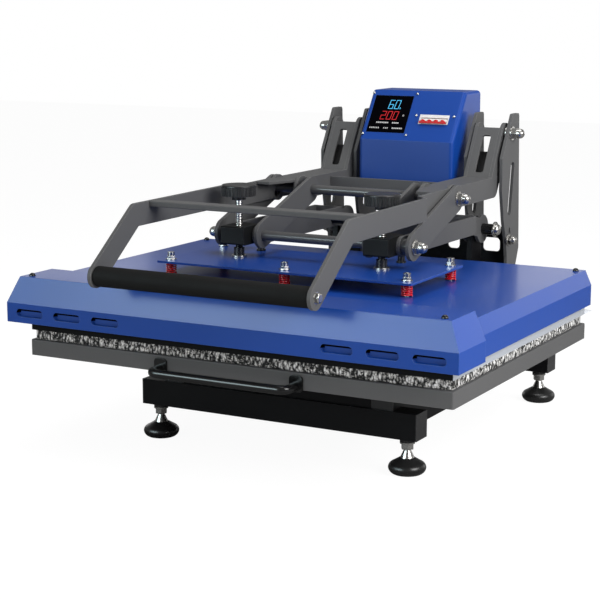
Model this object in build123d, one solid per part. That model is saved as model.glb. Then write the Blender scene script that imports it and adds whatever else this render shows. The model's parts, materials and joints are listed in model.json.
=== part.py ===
from build123d import *
import math
import os

# Flat heat press with a pull-out lower platen, a sprung heated upper platen and a toggle lever frame.
# Millimetres. X to the right, Y to the rear, Z up. The press is drawn closed, as it stands when it presses,
# from the front edge of the lower platen, and moved at the end so that its middle stands over the origin
# and its feet stand on the floor.

# Driving dimensions of the platens
platen_width = 1000
platen_depth = 750
tray_height = 35
tray_wall = 4
rib_half = 28
middle_rib_half = 20
rib_steel = 2.5
pad_thickness = 20
pad_inset = 6
sheet_thickness = 0.6
sheet_inset = 3
sheet_front = 140
sheet_overhang = 57
press_gap = 0.4
heat_plate_thickness = 22
heat_plate_inset = 2

# The platens' middle and rear edge, from which the linkage and the rear frame are placed
middle_y = platen_depth / 2
rear_y = platen_depth

# Heights of the base, from the floor up
floor_level = 7
foot_pad_radius = 40
foot_pad_top = 41.5
foot_neck_top = 58
foot_neck_radius = 15
beam_clearance = 84
beam_depth = 52
beam_height = 57
beam_wall = 3
rail_tube_width = 50
rail_tube_height = 50
guide_rail_height = 14
guide_rail_width = 20
runner_height = 18
runner_width = 44
runner_length = 70
runner_places = (rear_y - 148, rear_y - 74)

# Plan of the base
front_beam_half = 336
rear_beam_reach = 20
rear_beam_half = front_beam_half + rear_beam_reach
front_beam_y = 188
rear_beam_y = rear_y + 153
rail_centre = 257
rail_front = 195
rail_rear = rear_y + 145
pivot_beam_y = rear_y + 50
foot_inset = 30
foot_stud_radius = 7.5
foot_stud_depth = 16
foot_nut_height = 12
foot_nut_low = 60
foot_collar_radius = 16
foot_nut_flats = 24

# Covers of the heated platen
cover_sheet = 1.5
cap_overhang = 28
cap_taper = 24
cap_front_low = -43
cap_front_top = -25.6
cap_rear = 86
cap_band = 42
cap_bevel = 56
cap_lift = 1
main_overhang = 14
main_taper = 10
main_front = 78
main_rear_low = rear_y - 8
main_rear_top = rear_y - 22
main_band = 46
main_bevel = 35
main_lift = 2
vent_length = 70
vent_height = 17
vent_centres = (272, 370, 468)
cover_screw_front = (20.5, -9)
cover_screw_rear = (15, rear_y - 45)
cover_screw_radius = 3
cover_screw_dome = 7
cover_screw_length = 12
cover_nut_half = 8
cover_nut_height = 7
screw_pocket_radius = 14

# Sprung pressure plate
plate_half = 311
plate_front = middle_y - 163
plate_rear = middle_y + 105
plate_corner = 4
plate_thickness = 5
spring_height = 27
spring_wire = 3
spring_radius = 11
spring_turns = 4
spring_inset = 22
spring_columns = (spring_inset - plate_half, 0, plate_half - spring_inset)
spring_rows = (middle_y - 137, middle_y + 86)
standoff_radius = 15
cap_blanket = 30
blanket_side_gap = 10.5
blanket_end_gap = 10
spring_screw_radius = 5
spring_screw_depth = 30
spring_washer_radius = 12
spring_nut_half = 8.5
screw_head_radius = 8
socket_radius = 4
socket_depth = 6
washer_height = 2.5
nut_height = 6.5
head_height = 8

# Pivots, as places in the Y and Z plane
lower_pivot = (rear_y + 102, 434)
upper_pivot = (rear_y + 167, 660)
link_low = (middle_y, 456)
link_high = (middle_y + 230, 536)

# Travel of the handle frame, and how far the arm and the links turn for each degree of it
handle_travel = 40
arm_ratio = 0.4409
link_ratio = -1.007
travel_steps = 10

# Widths across the press of each layer of the linkage, from the centre line outwards
plate_steel = 8
link_inner_face = 131
arm_inner_face = 140
upright_inner_face = 145
flange_inner_face = 157
arm_outer_face = 208
flange_outer_face = 222
link_outer_face = 234
upright_outer_face = 237
handle_arm_face = 249
pedestal_face = 175
pedestal_steel = 14
fork_faces = (162, 194)

# Shafts and running fits
link_shaft_radius = 11
upper_pin_radius = 10
lower_shaft_radius = 13
lower_shaft_end = 232
running_clearance = 0.05
press_clearance = 0.01
washer_steel = 3
washer_margin = 4
bolt_head_radius = 12.5
bolt_head_length = 27
upper_head_length = 29
pedestal_head_radius = 15
pedestal_head_length = 12
tie_head_radius = 10.5
tie_head_length = 20
nut_share = 0.4
nut_flat_share = 0.06
collar_radius = 16

# Lower arm
arm_half_height = 22
arm_nose_radius = 22
link_end_radius = 30
arm_box_rear = rear_y + 26
arm_rear_rise = 19
fork_end_radius = 34
cross_tube_y = rear_y - 20
cross_tube_radius = 14
block_front = middle_y - 58
block_rear = middle_y + 25
block_low = 438
block_high = 479

# Pressure rods and knobs
rod_centre = 178
rod_y = middle_y - 28
rod_radius = 8
flange_radius = 17
flange_thickness = 4
sleeve_radius = 12
pressure_travel = 8
stop_y = middle_y + 70
stop_radius = 8
stop_flange = (11, 4)
stop_gap = 1
knob_radius = 39
knob_low = 546
knob_high = 571
knob_flutes = 32
flute_radius = 2.6
hub_radius = 16
hub_height = 9

# Handle frame
handle_bar = 49
elbow = (rear_y + 97, 535.5)
arm_bend = (47, 532.5)
grip_centre = (-95, 424)
jog_front = middle_y + 29
jog_rear = middle_y + 55
fold_ends = (-200, 300)
web_steel = 6
web_shoulder = middle_y + 191
web_nose = middle_y + 125
web_slot = (21, 98, 6)
web_slot_rise = 4
rear_web_length = 100
web_rear_reach = 28
web_nose_taper = 22
open_slot_margin = 1.2
cross_plate_y = rear_y - 5
cross_plate_steel = 6
cross_bar_front = 95
cross_bar_depth = 36
cross_bar_height = 12
flange_nose_radius = 31
grip_core_radius = 12
grip_radius = 21.5

# Uprights and rear frame
upright_steel = 8
upright_top = 706
upright_front_edge = ((172, 706), (152, 672), (112, 604), (113, 552), (112, 527), (128, 452),
                      (146, 400), (154, 358))
upright_step = ((4, 330), (24, 375), (8, upright_top))
upright_slot = ((rear_y + 178, 579), (rear_y + 163, 473))
upright_slot_half = 11.5
cable_slot = ((rear_y + 166, 427), (rear_y + 168, 419))
cable_slot_half = 5
tie_place = (rear_y + 157, 403)
brace_y = rear_y + 175
brace_steel = 6
brace_low = 200
brace_high = 430
brace_window_height = 34
brace_window_z = 386
side_brace_window = 45
centre_brace_windows = ((-95, 32), (0, 60), (95, 32))
pedestal_end_radius = 30
pedestal_window = (34, 150)
pedestal_window_place = (rear_y + 95, 260)

# Control box
box_half = 126
box_front = rear_y + 86
box_low = 500
box_bend = 638
box_panel_top = (rear_y + 164, 755)
box_rear = rear_y + 253
box_sheet = 1.5
box_corner = 10
display_size = (103, 104)
display_place = (-60, 72.5)
breaker_size = (78, 26)
breaker_place = (61, 61)
breaker_depth = 34
breaker_poles = 4
toggle_pin = 2
toggle_drop = 3
toggle_depth = 6
toggle_drum = 7.5
toggle_drum_gap = 0.6
toggle_reach = 15
toggle_lean = 22
toggle_radius = 4.6
toggle_bar = (5, 4)

# Pull of the lower platen
pull_half = 161
pull_reach = 46
pull_bend = 20
pull_flange = (30, 4, 34)
pull_radius = 9.5
pull_z = 222

# Mains gland and what stands inside the box
gland_length = 16
gland_place = (60, 545)
gland_radius = 15
gland_neck_radius = 11
gland_bore_radius = 5.5
box_vent = (60, 5, 16)
box_vent_rise = 120
shelf_depth = (rear_y + 112, rear_y + 210)
shelf_steel = 5
board_corners = (-100, 20, rear_y + 150, rear_y + 240)
board_steel = 2
board_rise = 8
board_blocks = ((-70, 30, 34, 30, 26), (-20, 50, 24, 24, 16), (-30, 15, 40, 12, 12))
relay_corners = (50, 110, rear_y + 140, rear_y + 185)
relay_height = 30

# Widths that follow from the platens' width
half_width = platen_width / 2
main_half_low = half_width + main_overhang
main_half_top = main_half_low - main_taper
cap_half_low = half_width + cap_overhang
cap_half_top = cap_half_low - cap_taper
front_screw = (cap_half_top - cover_screw_front[0], cover_screw_front[1])
rear_screw = (main_half_top - cover_screw_rear[0], cover_screw_rear[1])

# Heights that follow from the stack
beam_top = beam_clearance + beam_height
rail_tube_top = beam_top + rail_tube_height
guide_top = rail_tube_top + guide_rail_height
tray_low = rail_tube_top + guide_rail_height - 8 + runner_height
tray_top = tray_low + tray_height
pad_top = tray_top + pad_thickness
sheet_top = pad_top + sheet_thickness
heat_low = sheet_top + press_gap
heat_top = heat_low + heat_plate_thickness
arm_low = link_low[1] - arm_half_height - 1
cap_low = heat_top + cap_lift
cap_top = cap_low + cap_band + cap_bevel
main_low = heat_top + main_lift
main_top = main_low + main_band + main_bevel
plate_low = main_top + spring_height
plate_high = plate_low + plate_thickness


def block(x0, x1, y0, y1, z0, z1):
    """A rectangular solid between two corners."""
    size = Box(x1 - x0, y1 - y0, z1 - z0)
    return Pos((x0 + x1) / 2, (y0 + y1) / 2, (z0 + z1) / 2) * size


def slab(outline, x0, x1):
    """A plate cut to an outline drawn in Y and Z, between two places across the press."""
    return Pos(x0, 0, 0) * extrude(Plane.YZ * outline, amount=x1 - x0)


def bar_x(place, radius, x0, x1):
    """A round bar across the press."""
    return Pos((x0 + x1) / 2, place[0], place[1]) * Rot(0, 90, 0) * Cylinder(radius, x1 - x0)


def rod_z(x, y, radius, z0, z1):
    """An upright round rod."""
    return Pos(x, y, (z0 + z1) / 2) * Cylinder(radius, z1 - z0)


def disc(place, radius):
    """A filled circle of an outline in Y and Z."""
    return Pos(place[0], place[1]) * Circle(radius)


def strip(start, end, half_height):
    """A straight band of an outline from one place to another."""
    length = math.dist(start, end)
    turn = math.degrees(math.atan2(end[1] - start[1], end[0] - start[0]))
    middle = ((start[0] + end[0]) / 2, (start[1] + end[1]) / 2)
    return Pos(*middle) * Rot(0, 0, turn) * Rectangle(length, 2 * half_height)


def both(shape):
    """A piece and its mirror image on the other side of the press."""
    return [shape, mirror(shape, about=Plane.YZ)]


def group(pieces):
    """Separate solids that share a node."""
    solids = []
    for piece in pieces:
        solids.extend(piece.solids())
    return Compound(solids)


nodes = {}


# Base

def hollow_beam(x0, x1, y0, y1, z0, z1, along):
    """A rectangular steel tube that runs along x or y."""
    w = beam_wall
    outer = block(x0, x1, y0, y1, z0, z1)
    if along == "x":
        return outer - block(x0, x1, y0 + w, y1 - w, z0 + w, z1 - w)
    return outer - block(x0 + w, x1 - w, y0, y1, z0 + w, z1 - w)


rail_in = rail_centre - rail_tube_width / 2
rail_out = rail_centre + rail_tube_width / 2
foot_spots = []
for side in (-1, 1):
    foot_spots.append((side * (front_beam_half - foot_inset), front_beam_y + beam_depth / 2))
    foot_spots.append((side * (rear_beam_half - foot_inset), rear_beam_y + beam_depth / 2))


def cross_beam(half, y0):
    """A beam across the base, drilled below for its two feet."""
    beam = hollow_beam(-half, half, y0, y0 + beam_depth, beam_clearance, beam_top, "x")
    for x, y in foot_spots:
        if abs(y - y0 - beam_depth / 2) < 1:
            hole = foot_stud_radius + press_clearance
            beam -= rod_z(x, y, hole, beam_clearance, beam_clearance + beam_wall)
    return beam


nodes["base_front_beam"] = cross_beam(front_beam_half, front_beam_y)
nodes["base_rear_beam"] = cross_beam(rear_beam_half, rear_beam_y)
side_beam = hollow_beam(rail_in, rail_out, front_beam_y + beam_depth, rear_beam_y,
                        beam_clearance, beam_top, "y")
nodes["base_side_beams"] = group(both(side_beam))
nodes["pivot_cross_beam"] = hollow_beam(-rail_in, rail_in, pivot_beam_y, pivot_beam_y + beam_depth,
                                        beam_clearance, beam_top, "x")


def end_cap(half, y0):
    """A plastic plug in the open end of a beam."""
    w = beam_wall
    flange = block(half, half + 2, y0, y0 + beam_depth, beam_clearance, beam_top)
    plug = block(half - 12, half, y0 + w, y0 + beam_depth - w, beam_clearance + w, beam_top - w)
    return flange + plug


rail_cap = block(rail_in, rail_out, rail_front - 2, rail_front, beam_top, rail_tube_top)
rail_cap += block(rail_in + beam_wall, rail_out - beam_wall, rail_front, rail_front + 12,
                  beam_top + beam_wall, rail_tube_top - beam_wall)
nodes["beam_end_caps"] = group(both(end_cap(front_beam_half, front_beam_y))
                               + both(end_cap(rear_beam_half, rear_beam_y)) + both(rail_cap))

rail_tube = hollow_beam(rail_in, rail_out, rail_front, rail_rear, beam_top, rail_tube_top, "y")
front_tube = hollow_beam(-rail_in, rail_in, rail_front, rail_front + beam_depth, beam_top, rail_tube_top, "x")
nodes["rail_tubes"] = group(both(rail_tube) + [front_tube])


# Feet

def foot_pad():
    """A round rubber foot, widest at its waist, with a blind seat for its stud."""
    r = foot_pad_radius
    z = floor_level
    side = Spline((r - 15, z), (r - 7, z + 2), (r - 1.5, z + 8), (r, z + 14), (r - 2, z + 20),
                  (r - 8, z + 25))
    slope = Line((r - 8, z + 25), (foot_neck_radius + 1, foot_pad_top))
    top = Line((foot_neck_radius + 1, foot_pad_top), (0, foot_pad_top))
    axis = Line((0, foot_pad_top), (0, z))
    base = Line((0, z), (r - 15, z))
    body = revolve(Plane.XZ * make_face(side + slope + top + axis + base), Axis.Z)
    seat = foot_pad_top - foot_stud_depth
    return body - rod_z(0, 0, foot_stud_radius + press_clearance, seat, foot_pad_top)


def foot_stud():
    """A plated stud with a cone that bears on the pad."""
    low = foot_pad_top
    high = beam_clearance + beam_wall
    profile = Polyline((0, low - foot_stud_depth), (foot_stud_radius, low - foot_stud_depth),
                       (foot_stud_radius, low), (foot_neck_radius, low), (foot_stud_radius, foot_neck_top),
                       (foot_stud_radius, high), (0, high), close=True)
    return revolve(Plane.XZ * make_face(profile), Axis.Z)


def foot_nut():
    """The jam nut and its collar under the beam."""
    hexagon = RegularPolygon(foot_nut_flats / 2, 6, major_radius=False)
    nut_top = foot_nut_low + foot_nut_height
    nut = Pos(0, 0, foot_nut_low) * extrude(hexagon, amount=foot_nut_height)
    collar = rod_z(0, 0, foot_collar_radius, nut_top, beam_clearance)
    bore = rod_z(0, 0, foot_stud_radius + press_clearance, foot_nut_low, beam_clearance)
    return [nut - bore, collar - bore]


pads = []
foot_metal = []
for x, y in foot_spots:
    pads.append(Pos(x, y, 0) * foot_pad())
    foot_metal.append(Pos(x, y, 0) * foot_stud())
    for piece in foot_nut():
        foot_metal.append(Pos(x, y, 0) * piece)
nodes["foot_pads"] = group(pads)
nodes["foot_studs_and_nuts"] = group(foot_metal)


# Guide rails, and the runners that ride on them

guide = block(rail_centre - guide_rail_width / 2, rail_centre + guide_rail_width / 2,
              rail_front + 5, pivot_beam_y + beam_depth, rail_tube_top, guide_top)
nodes["guide_rails"] = group(both(guide))

runners = []
for y in runner_places:
    body = block(rail_centre - runner_width / 2, rail_centre + runner_width / 2,
                 y, y + runner_length, tray_low - runner_height, tray_low)
    groove = block(rail_centre - guide_rail_width / 2 - 0.3, rail_centre + guide_rail_width / 2 + 0.3,
                   y, y + runner_length, tray_low - runner_height, guide_top)
    runners.extend(both(body - groove))
nodes["runner_blocks"] = group(runners)


# Lower platen

tray_outer = block(-half_width, half_width, 0, platen_depth, tray_low, tray_top)
tray_outer = fillet(tray_outer.edges().filter_by(Axis.Z), 4)
tray_outer = fillet(tray_outer.faces().sort_by(Axis.Z)[-1].edges(), 2.5)
tray_inner = block(-half_width + tray_wall, half_width - tray_wall, tray_wall, platen_depth - tray_wall,
                   tray_low, tray_top - tray_wall)
nodes["platen_tray"] = tray_outer - tray_inner

rib_top = tray_top - tray_wall
rib = block(rail_centre - rib_half, rail_centre + rib_half, tray_wall, platen_depth - tray_wall,
            tray_low, rib_top)
rib -= block(rail_centre - rib_half + rib_steel, rail_centre + rib_half - rib_steel, tray_wall,
             platen_depth - tray_wall, tray_low + rib_steel, rib_top - rib_steel)
rib_end = rail_centre - rib_half
rib_inside = middle_rib_half - rib_steel
middle_rib = block(-rib_end, rib_end, platen_depth / 2 - middle_rib_half, platen_depth / 2 + middle_rib_half,
                   tray_low, rib_top)
middle_rib -= block(-rib_end, rib_end, platen_depth / 2 - rib_inside, platen_depth / 2 + rib_inside,
                    tray_low + rib_steel, rib_top - rib_steel)
nodes["tray_ribs"] = group(both(rib) + [middle_rib])


def pull_handle():
    """A round bar bent back to two flanges on the platen's front edge."""
    path = FilletPolyline((-pull_half, 0, pull_z), (-pull_half, -pull_reach, pull_z),
                          (pull_half, -pull_reach, pull_z), (pull_half, 0, pull_z), radius=pull_bend)
    start = Plane(origin=(-pull_half, 0, pull_z), z_dir=(0, -1, 0))
    rod = sweep(start * Circle(pull_radius), path=path)
    flange = Pos(pull_half, -pull_flange[1] / 2, pull_z + 5) * Box(*pull_flange)
    flange = fillet(flange.edges().filter_by(Axis.Y), 8)
    return rod + flange + mirror(flange, about=Plane.YZ)


nodes["pull_handle"] = pull_handle()

pad = block(-half_width + pad_inset, half_width - pad_inset, pad_inset, platen_depth - pad_inset,
            tray_top, pad_top)
nodes["silicone_pad"] = fillet(pad.edges().filter_by(Axis.Z), 10)
sheet_half = half_width - sheet_inset
sheet_rear = rear_y + sheet_overhang
nodes["release_sheet"] = block(-sheet_half, sheet_half, sheet_front, sheet_rear, pad_top, sheet_top)


# Heated upper platen

heat_half = half_width - heat_plate_inset
heat_plate = block(-heat_half, heat_half, heat_plate_inset, platen_depth - heat_plate_inset,
                   heat_low, heat_top)
heat_plate = chamfer(heat_plate.faces().sort_by(Axis.Z)[-1].edges(), 3)
nodes["heat_plate"] = heat_plate

spring_spots = []
for y in spring_rows:
    for x in spring_columns:
        spring_spots.append((x, y))

insulation_top = main_top - cover_sheet - 2
blanket_half = main_half_top - cover_sheet - blanket_side_gap
blanket_step = main_front + blanket_end_gap
insulation = block(-blanket_half, blanket_half, blanket_end_gap, blanket_step,
                   heat_top, heat_top + cap_blanket)
insulation += block(-blanket_half, blanket_half, blanket_step, main_rear_top - blanket_end_gap,
                    heat_top, insulation_top)
for x, y in spring_spots:
    insulation -= rod_z(x, y, standoff_radius + 0.3, heat_top, insulation_top)
for side in (-1, 1):
    x = side * rear_screw[0]
    insulation -= rod_z(x, rear_screw[1], screw_pocket_radius, insulation_top - 16, insulation_top)
nodes["insulation_blanket"] = insulation

standoff_top = main_top - cover_sheet
screw_end = standoff_top - spring_screw_depth
standoffs = []
for x, y in spring_spots:
    post = rod_z(x, y, standoff_radius, heat_top, standoff_top)
    standoffs.append(post - rod_z(x, y, spring_screw_radius + press_clearance, screw_end, standoff_top))
nodes["cover_standoffs"] = group(standoffs)


def hood(half_low, half_top, front_low, front_top, rear_low, rear_top, low, band, bevel):
    """A folded hood: upright bands below, sloped bands above and a flat top."""
    bend = low + band
    top = bend + bevel
    lower = block(-half_low, half_low, front_low, rear_low, low, bend)
    base = Pos(0, (front_low + rear_low) / 2) * Rectangle(2 * half_low, rear_low - front_low)
    lid = Pos(0, (front_top + rear_top) / 2) * Rectangle(2 * half_top, rear_top - front_top)
    return lower + loft([Plane.XY.offset(bend) * base, Plane.XY.offset(top) * lid], ruled=True)


def main_hood(grow, cut):
    """The rear hood's outer form, grown outwards or cut inwards by its sheet."""
    return hood(main_half_low + grow, main_half_top + grow, main_front - cut, main_front - cut,
                main_rear_low + grow, main_rear_top + grow, main_low, main_band, main_bevel + grow)


main_cover = main_hood(0, 0) - main_hood(-cover_sheet, cover_sheet)
for x, y in spring_spots:
    main_cover -= rod_z(x, y, spring_screw_radius + 0.3, main_top - 5, main_top + 1)
for x in (-rear_screw[0], rear_screw[0]):
    hole = cover_screw_radius + press_clearance
    main_cover -= rod_z(x, rear_screw[1], hole, main_top - 5, main_top + 1)
nodes["platen_cover"] = main_cover


def front_cover():
    """The raised front hood with its row of vents."""
    s = cover_sheet
    outer = hood(cap_half_low, cap_half_top, cap_front_low, cap_front_top, cap_rear, cap_rear,
                 cap_low, cap_band, cap_bevel)
    inner = hood(cap_half_low - s, cap_half_top - s, cap_front_low + s, cap_front_top + s,
                 cap_rear - s, cap_rear - s, cap_low, cap_band, cap_bevel - s)
    cap = outer - inner
    cap -= block(-main_half_low, main_half_low, cap_rear - 3, cap_rear + 3, cap_low, main_low)
    cap -= main_hood(0, 0)
    vent = SlotOverall(vent_length, vent_height)
    for centre in vent_centres:
        for side in (-1, 1):
            tool = extrude(Plane.XZ.offset(-cap_front_low + 5) * vent, amount=-10)
            cap -= Pos(side * centre, 0, cap_low + cap_band / 2 + 1) * tool
    for x in (-front_screw[0], front_screw[0]):
        cap -= rod_z(x, front_screw[1], cover_screw_radius + press_clearance, cap_top - 5, cap_top + 1)
    return cap


nodes["front_cover"] = front_cover()


def cover_screw(x, y, top):
    """A domed screw and the square nut under the sheet."""
    r = cover_screw_dome
    half = cover_nut_half
    under = top - cover_sheet
    dome = Pos(x, y, top) * (Sphere(r) & Pos(0, 0, r) * Box(2 * r, 2 * r, 2 * r))
    shank = rod_z(x, y, cover_screw_radius, top - cover_screw_length, top)
    nut = block(x - half, x + half, y - half, y + half, under - cover_nut_height, under)
    return [dome + shank, nut - rod_z(x, y, cover_screw_radius + press_clearance, top - 20, top)]


screws = []
for side in (-1, 1):
    screws += cover_screw(side * front_screw[0], front_screw[1], cap_top)
    screws += cover_screw(side * rear_screw[0], rear_screw[1], main_top)
nodes["cover_screws"] = group(screws)


# Pressure plate, springs and their screws

pressure_plate = block(-plate_half, plate_half, plate_front, plate_rear, plate_low, plate_high)
pressure_plate = fillet(pressure_plate.edges().filter_by(Axis.Z), plate_corner)
for x, y in spring_spots:
    pressure_plate -= rod_z(x, y, spring_screw_radius + 0.3, plate_low, plate_high)
nodes["pressure_plate"] = pressure_plate


def biarc(p0, t0, p1, t1):
    """Two arcs that leave one point and reach another in the given directions."""
    v = p1 - p0
    t = t0 + t1
    k = 2 * (1 - t0.dot(t1))
    d = (-v.dot(t) + math.sqrt(v.dot(t) ** 2 + k * v.dot(v))) / k
    joint = (p0 + p1 + (t0 - t1) * d) / 2
    way = ((p1 - t1 * d) - (p0 + t0 * d)).normalized()
    return [Edge.make_tangent_arc(p0, t0, joint), Edge.make_tangent_arc(joint, way, p1)]


spring_bend = spring_wire
spring_rise = spring_height - 2 * (spring_wire + spring_bend)
spring_pitch = spring_rise / spring_turns


def helix_point(turns):
    """A place on the coil's centre line and its direction, after so many turns."""
    angle = 2 * math.pi * turns
    place = Vector(spring_radius * math.cos(angle), spring_radius * math.sin(angle),
                   spring_wire + spring_bend + spring_pitch * turns)
    way = Vector(-2 * math.pi * spring_radius * math.sin(angle),
                 2 * math.pi * spring_radius * math.cos(angle), spring_pitch)
    return place, way.normalized()


def coil_spring():
    """A coil of round wire whose ends turn upright and stand square on their seats."""
    up = Vector(0, 0, 1)
    first, first_way = helix_point(0)
    last, last_way = helix_point(spring_turns)
    foot = Vector(first.X, first.Y - spring_bend, spring_wire)
    head = Vector(last.X, last.Y + spring_bend, spring_height - spring_wire)
    edges = [Edge.make_line(Vector(foot.X, foot.Y, 0), foot)]
    edges += biarc(foot, up, first, first_way)
    for quarter in range(4 * spring_turns):
        p0, t0 = helix_point(quarter / 4)
        p1, t1 = helix_point((quarter + 1) / 4)
        edges += biarc(p0, t0, p1, t1)
    edges += biarc(last, last_way, head, up)
    edges.append(Edge.make_line(head, Vector(head.X, head.Y, spring_height)))
    path = Wire(edges)
    start = Plane(origin=Vector(foot.X, foot.Y, 0), z_dir=up)
    return sweep(start * Circle(spring_wire / 2), path=path), path


spring, spring_path = coil_spring()
path_points = [spring_path.position_at(i / 600) for i in range(601)]
path_step = spring_path.length / 600
skip = int(2 * math.pi * spring_radius * 0.5 / path_step)
least = min((path_points[i] - path_points[j]).length
            for i in range(601) for j in range(i + skip, 601)) - spring_wire
print("spring: least gap of the coil to itself", round(least, 2), "mm")
print("spring: curls in all", spring_turns * len(spring_spots))
nodes["plate_springs"] = group([Pos(x, y, main_top) * spring for x, y in spring_spots])

spring_screws = []
for x, y in spring_spots:
    seat = plate_high + washer_height
    head_top = seat + nut_height + head_height
    washer = rod_z(x, y, spring_washer_radius, plate_high, seat)
    hexagon = RegularPolygon(spring_nut_half, 6, major_radius=False)
    nut = Pos(x, y, seat) * extrude(hexagon, amount=nut_height)
    head = rod_z(x, y, screw_head_radius, seat + nut_height, head_top)
    socket = extrude(RegularPolygon(socket_radius, 6), amount=socket_depth)
    socket = Pos(x, y, head_top - socket_depth) * socket
    shank = rod_z(x, y, spring_screw_radius, screw_end, seat + nut_height)
    spring_screws.append(washer + nut + head + shank - socket)
nodes["spring_screws"] = group(spring_screws)

rod_flange = rod_z(rod_centre, rod_y, flange_radius, plate_high, plate_high + flange_thickness)
rod_flange += rod_z(rod_centre, rod_y, sleeve_radius, plate_high, block_low - pressure_travel - 1)
rod_flange -= rod_z(rod_centre, rod_y, rod_radius + running_clearance, plate_high + 1, block_low)
nodes["rod_flanges"] = group(both(rod_flange))


# Rubber stops on the plate under the arms

stop_low = plate_high + stop_flange[1]
stop = rod_z(rod_centre, stop_y, stop_flange[0], plate_high, stop_low)
stop += rod_z(rod_centre, stop_y, stop_radius, stop_low, arm_low - pressure_travel - stop_gap)
nodes["arm_stops"] = group(both(stop))


# Pressure knobs with their threaded rods

def pressure_knob(x):
    """A fluted knob on its rod; the rod turns in the arm's block and bears in the plate's flange."""
    rim = rod_z(x, rod_y, knob_radius, knob_low, knob_high)
    rim = fillet(rim.edges().sort_by(Axis.Z)[-1], 3)
    for i in range(knob_flutes):
        angle = 2 * math.pi * i / knob_flutes
        flute_x = x + (knob_radius + 1) * math.cos(angle)
        flute_y = rod_y + (knob_radius + 1) * math.sin(angle)
        rim -= rod_z(flute_x, flute_y, flute_radius, knob_low, knob_high - 5)
    hub = rod_z(x, rod_y, hub_radius, knob_low - hub_height, knob_low)
    return rim + hub - rod_z(x, rod_y, rod_radius, knob_low - hub_height, knob_high - 8)


for name, side in (("left", -1), ("right", 1)):
    nodes["knob_" + name] = pressure_knob(side * rod_centre)
    nodes["pressure_rod_" + name] = rod_z(side * rod_centre, rod_y, rod_radius, plate_high + 1, knob_high - 8)


# Lower arm

shaft_hole = link_shaft_radius + running_clearance
arm_rear_mid = (arm_box_rear, lower_pivot[1] + arm_rear_rise)


def arm_plate(face):
    """One side plate of the arm's box, round at the front pivot."""
    outline = disc(link_low, arm_nose_radius) + strip(link_low, arm_rear_mid, arm_half_height)
    return slab(outline, face, face + plate_steel) - bar_x(link_low, link_shaft_radius, face - 1, face + 9)


nodes["arm_outer_plates"] = group(both(arm_plate(arm_outer_face)))
nodes["arm_inner_plates"] = group(both(arm_plate(arm_inner_face)))


def arm_fork():
    """The closed rear end of the arm's box with the two lugs that turn on the lower pivot."""
    z0 = arm_rear_mid[1] - arm_half_height
    z1 = arm_rear_mid[1] + arm_half_height
    box_inside = arm_inner_face + plate_steel
    fork = block(box_inside, arm_outer_face, arm_box_rear - plate_steel, arm_box_rear, z0, z1)
    lug = disc(lower_pivot, fork_end_radius) + strip(arm_rear_mid, lower_pivot, arm_half_height)
    for face in fork_faces:
        fork += slab(lug, face, face + plate_steel)
    bore = lower_shaft_radius + running_clearance
    return fork - bar_x(lower_pivot, bore, fork_faces[0] - 2, arm_outer_face)


nodes["arm_rear_forks"] = group(both(arm_fork()))

arm_block = block(arm_inner_face + plate_steel, arm_outer_face, block_front, block_rear,
                  block_low, block_high)
arm_block = fillet(arm_block.edges().filter_by(Axis.X), 4)
arm_block -= rod_z(rod_centre, rod_y, rod_radius + running_clearance, block_low - 1, block_high + 1)
arm_block -= bar_x(link_low, link_shaft_radius, arm_inner_face, arm_outer_face + 8)
nodes["arm_blocks"] = group(both(arm_block))

cross_tube = bar_x((cross_tube_y, arm_rear_mid[1]), cross_tube_radius, -arm_inner_face, arm_inner_face)
cross_tube -= bar_x((cross_tube_y, arm_rear_mid[1]), cross_tube_radius - 3, -arm_inner_face, arm_inner_face)
nodes["arm_cross_tube"] = cross_tube

shaft_end = link_outer_face + plate_steel
nodes["arm_shaft"] = bar_x(link_low, link_shaft_radius, -shaft_end, shaft_end)


def end_bolt(place, x0, radius, length, share=nut_share):
    """A washer and an acorn nut on the end of a shaft."""
    seat = x0 + washer_steel
    nut_end = seat + length * share
    washer = bar_x(place, radius + washer_margin, x0, seat)
    hexagon = Pos(*place) * RegularPolygon(radius, 6, major_radius=False)
    dome = bar_x(place, radius - 0.8, nut_end, seat + length)
    dome = fillet(dome.edges().sort_by(Axis.X)[-1], min(radius - 0.8, seat + length - nut_end) - 0.6)
    return washer + slab(hexagon, seat, nut_end) + dome


arm_spacer = bar_x(link_low, 17, arm_outer_face + plate_steel, link_outer_face)
arm_spacer -= bar_x(link_low, link_shaft_radius, arm_outer_face, link_outer_face)
arm_bolt = end_bolt(link_low, shaft_end, bolt_head_radius, bolt_head_length)
nodes["arm_shaft_fittings"] = group(both(arm_spacer) + both(arm_bolt))


# Toggle links

def toggle_link(face):
    """A flat link with round ends, from the arm's front pivot to the handle frame."""
    outline = disc(link_low, link_end_radius) + disc(link_high, link_end_radius)
    outline += strip(link_low, link_high, link_end_radius)
    plate = slab(outline, face, face + plate_steel)
    plate -= bar_x(link_low, shaft_hole, face - 1, face + plate_steel + 1)
    return plate - bar_x(link_high, link_shaft_radius, face - 1, face + plate_steel + 1)


nodes["toggle_links_outer"] = group(both(toggle_link(link_outer_face)))
nodes["toggle_links_inner"] = group(both(toggle_link(link_inner_face)))
link_shaft = bar_x(link_high, link_shaft_radius, -shaft_end, shaft_end)
link_bolt = end_bolt(link_high, shaft_end, bolt_head_radius, bolt_head_length)
nodes["link_shaft"] = group([link_shaft] + both(link_bolt))


# Handle frame

bar_half = handle_bar / 2


def turned(place, centre, degrees):
    """A place after a turn about a pivot that lifts the front."""
    angle = math.radians(degrees)
    y = place[0] - centre[0]
    z = place[1] - centre[1]
    return (centre[0] + y * math.cos(angle) + z * math.sin(angle),
            centre[1] - y * math.sin(angle) + z * math.cos(angle))


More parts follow.
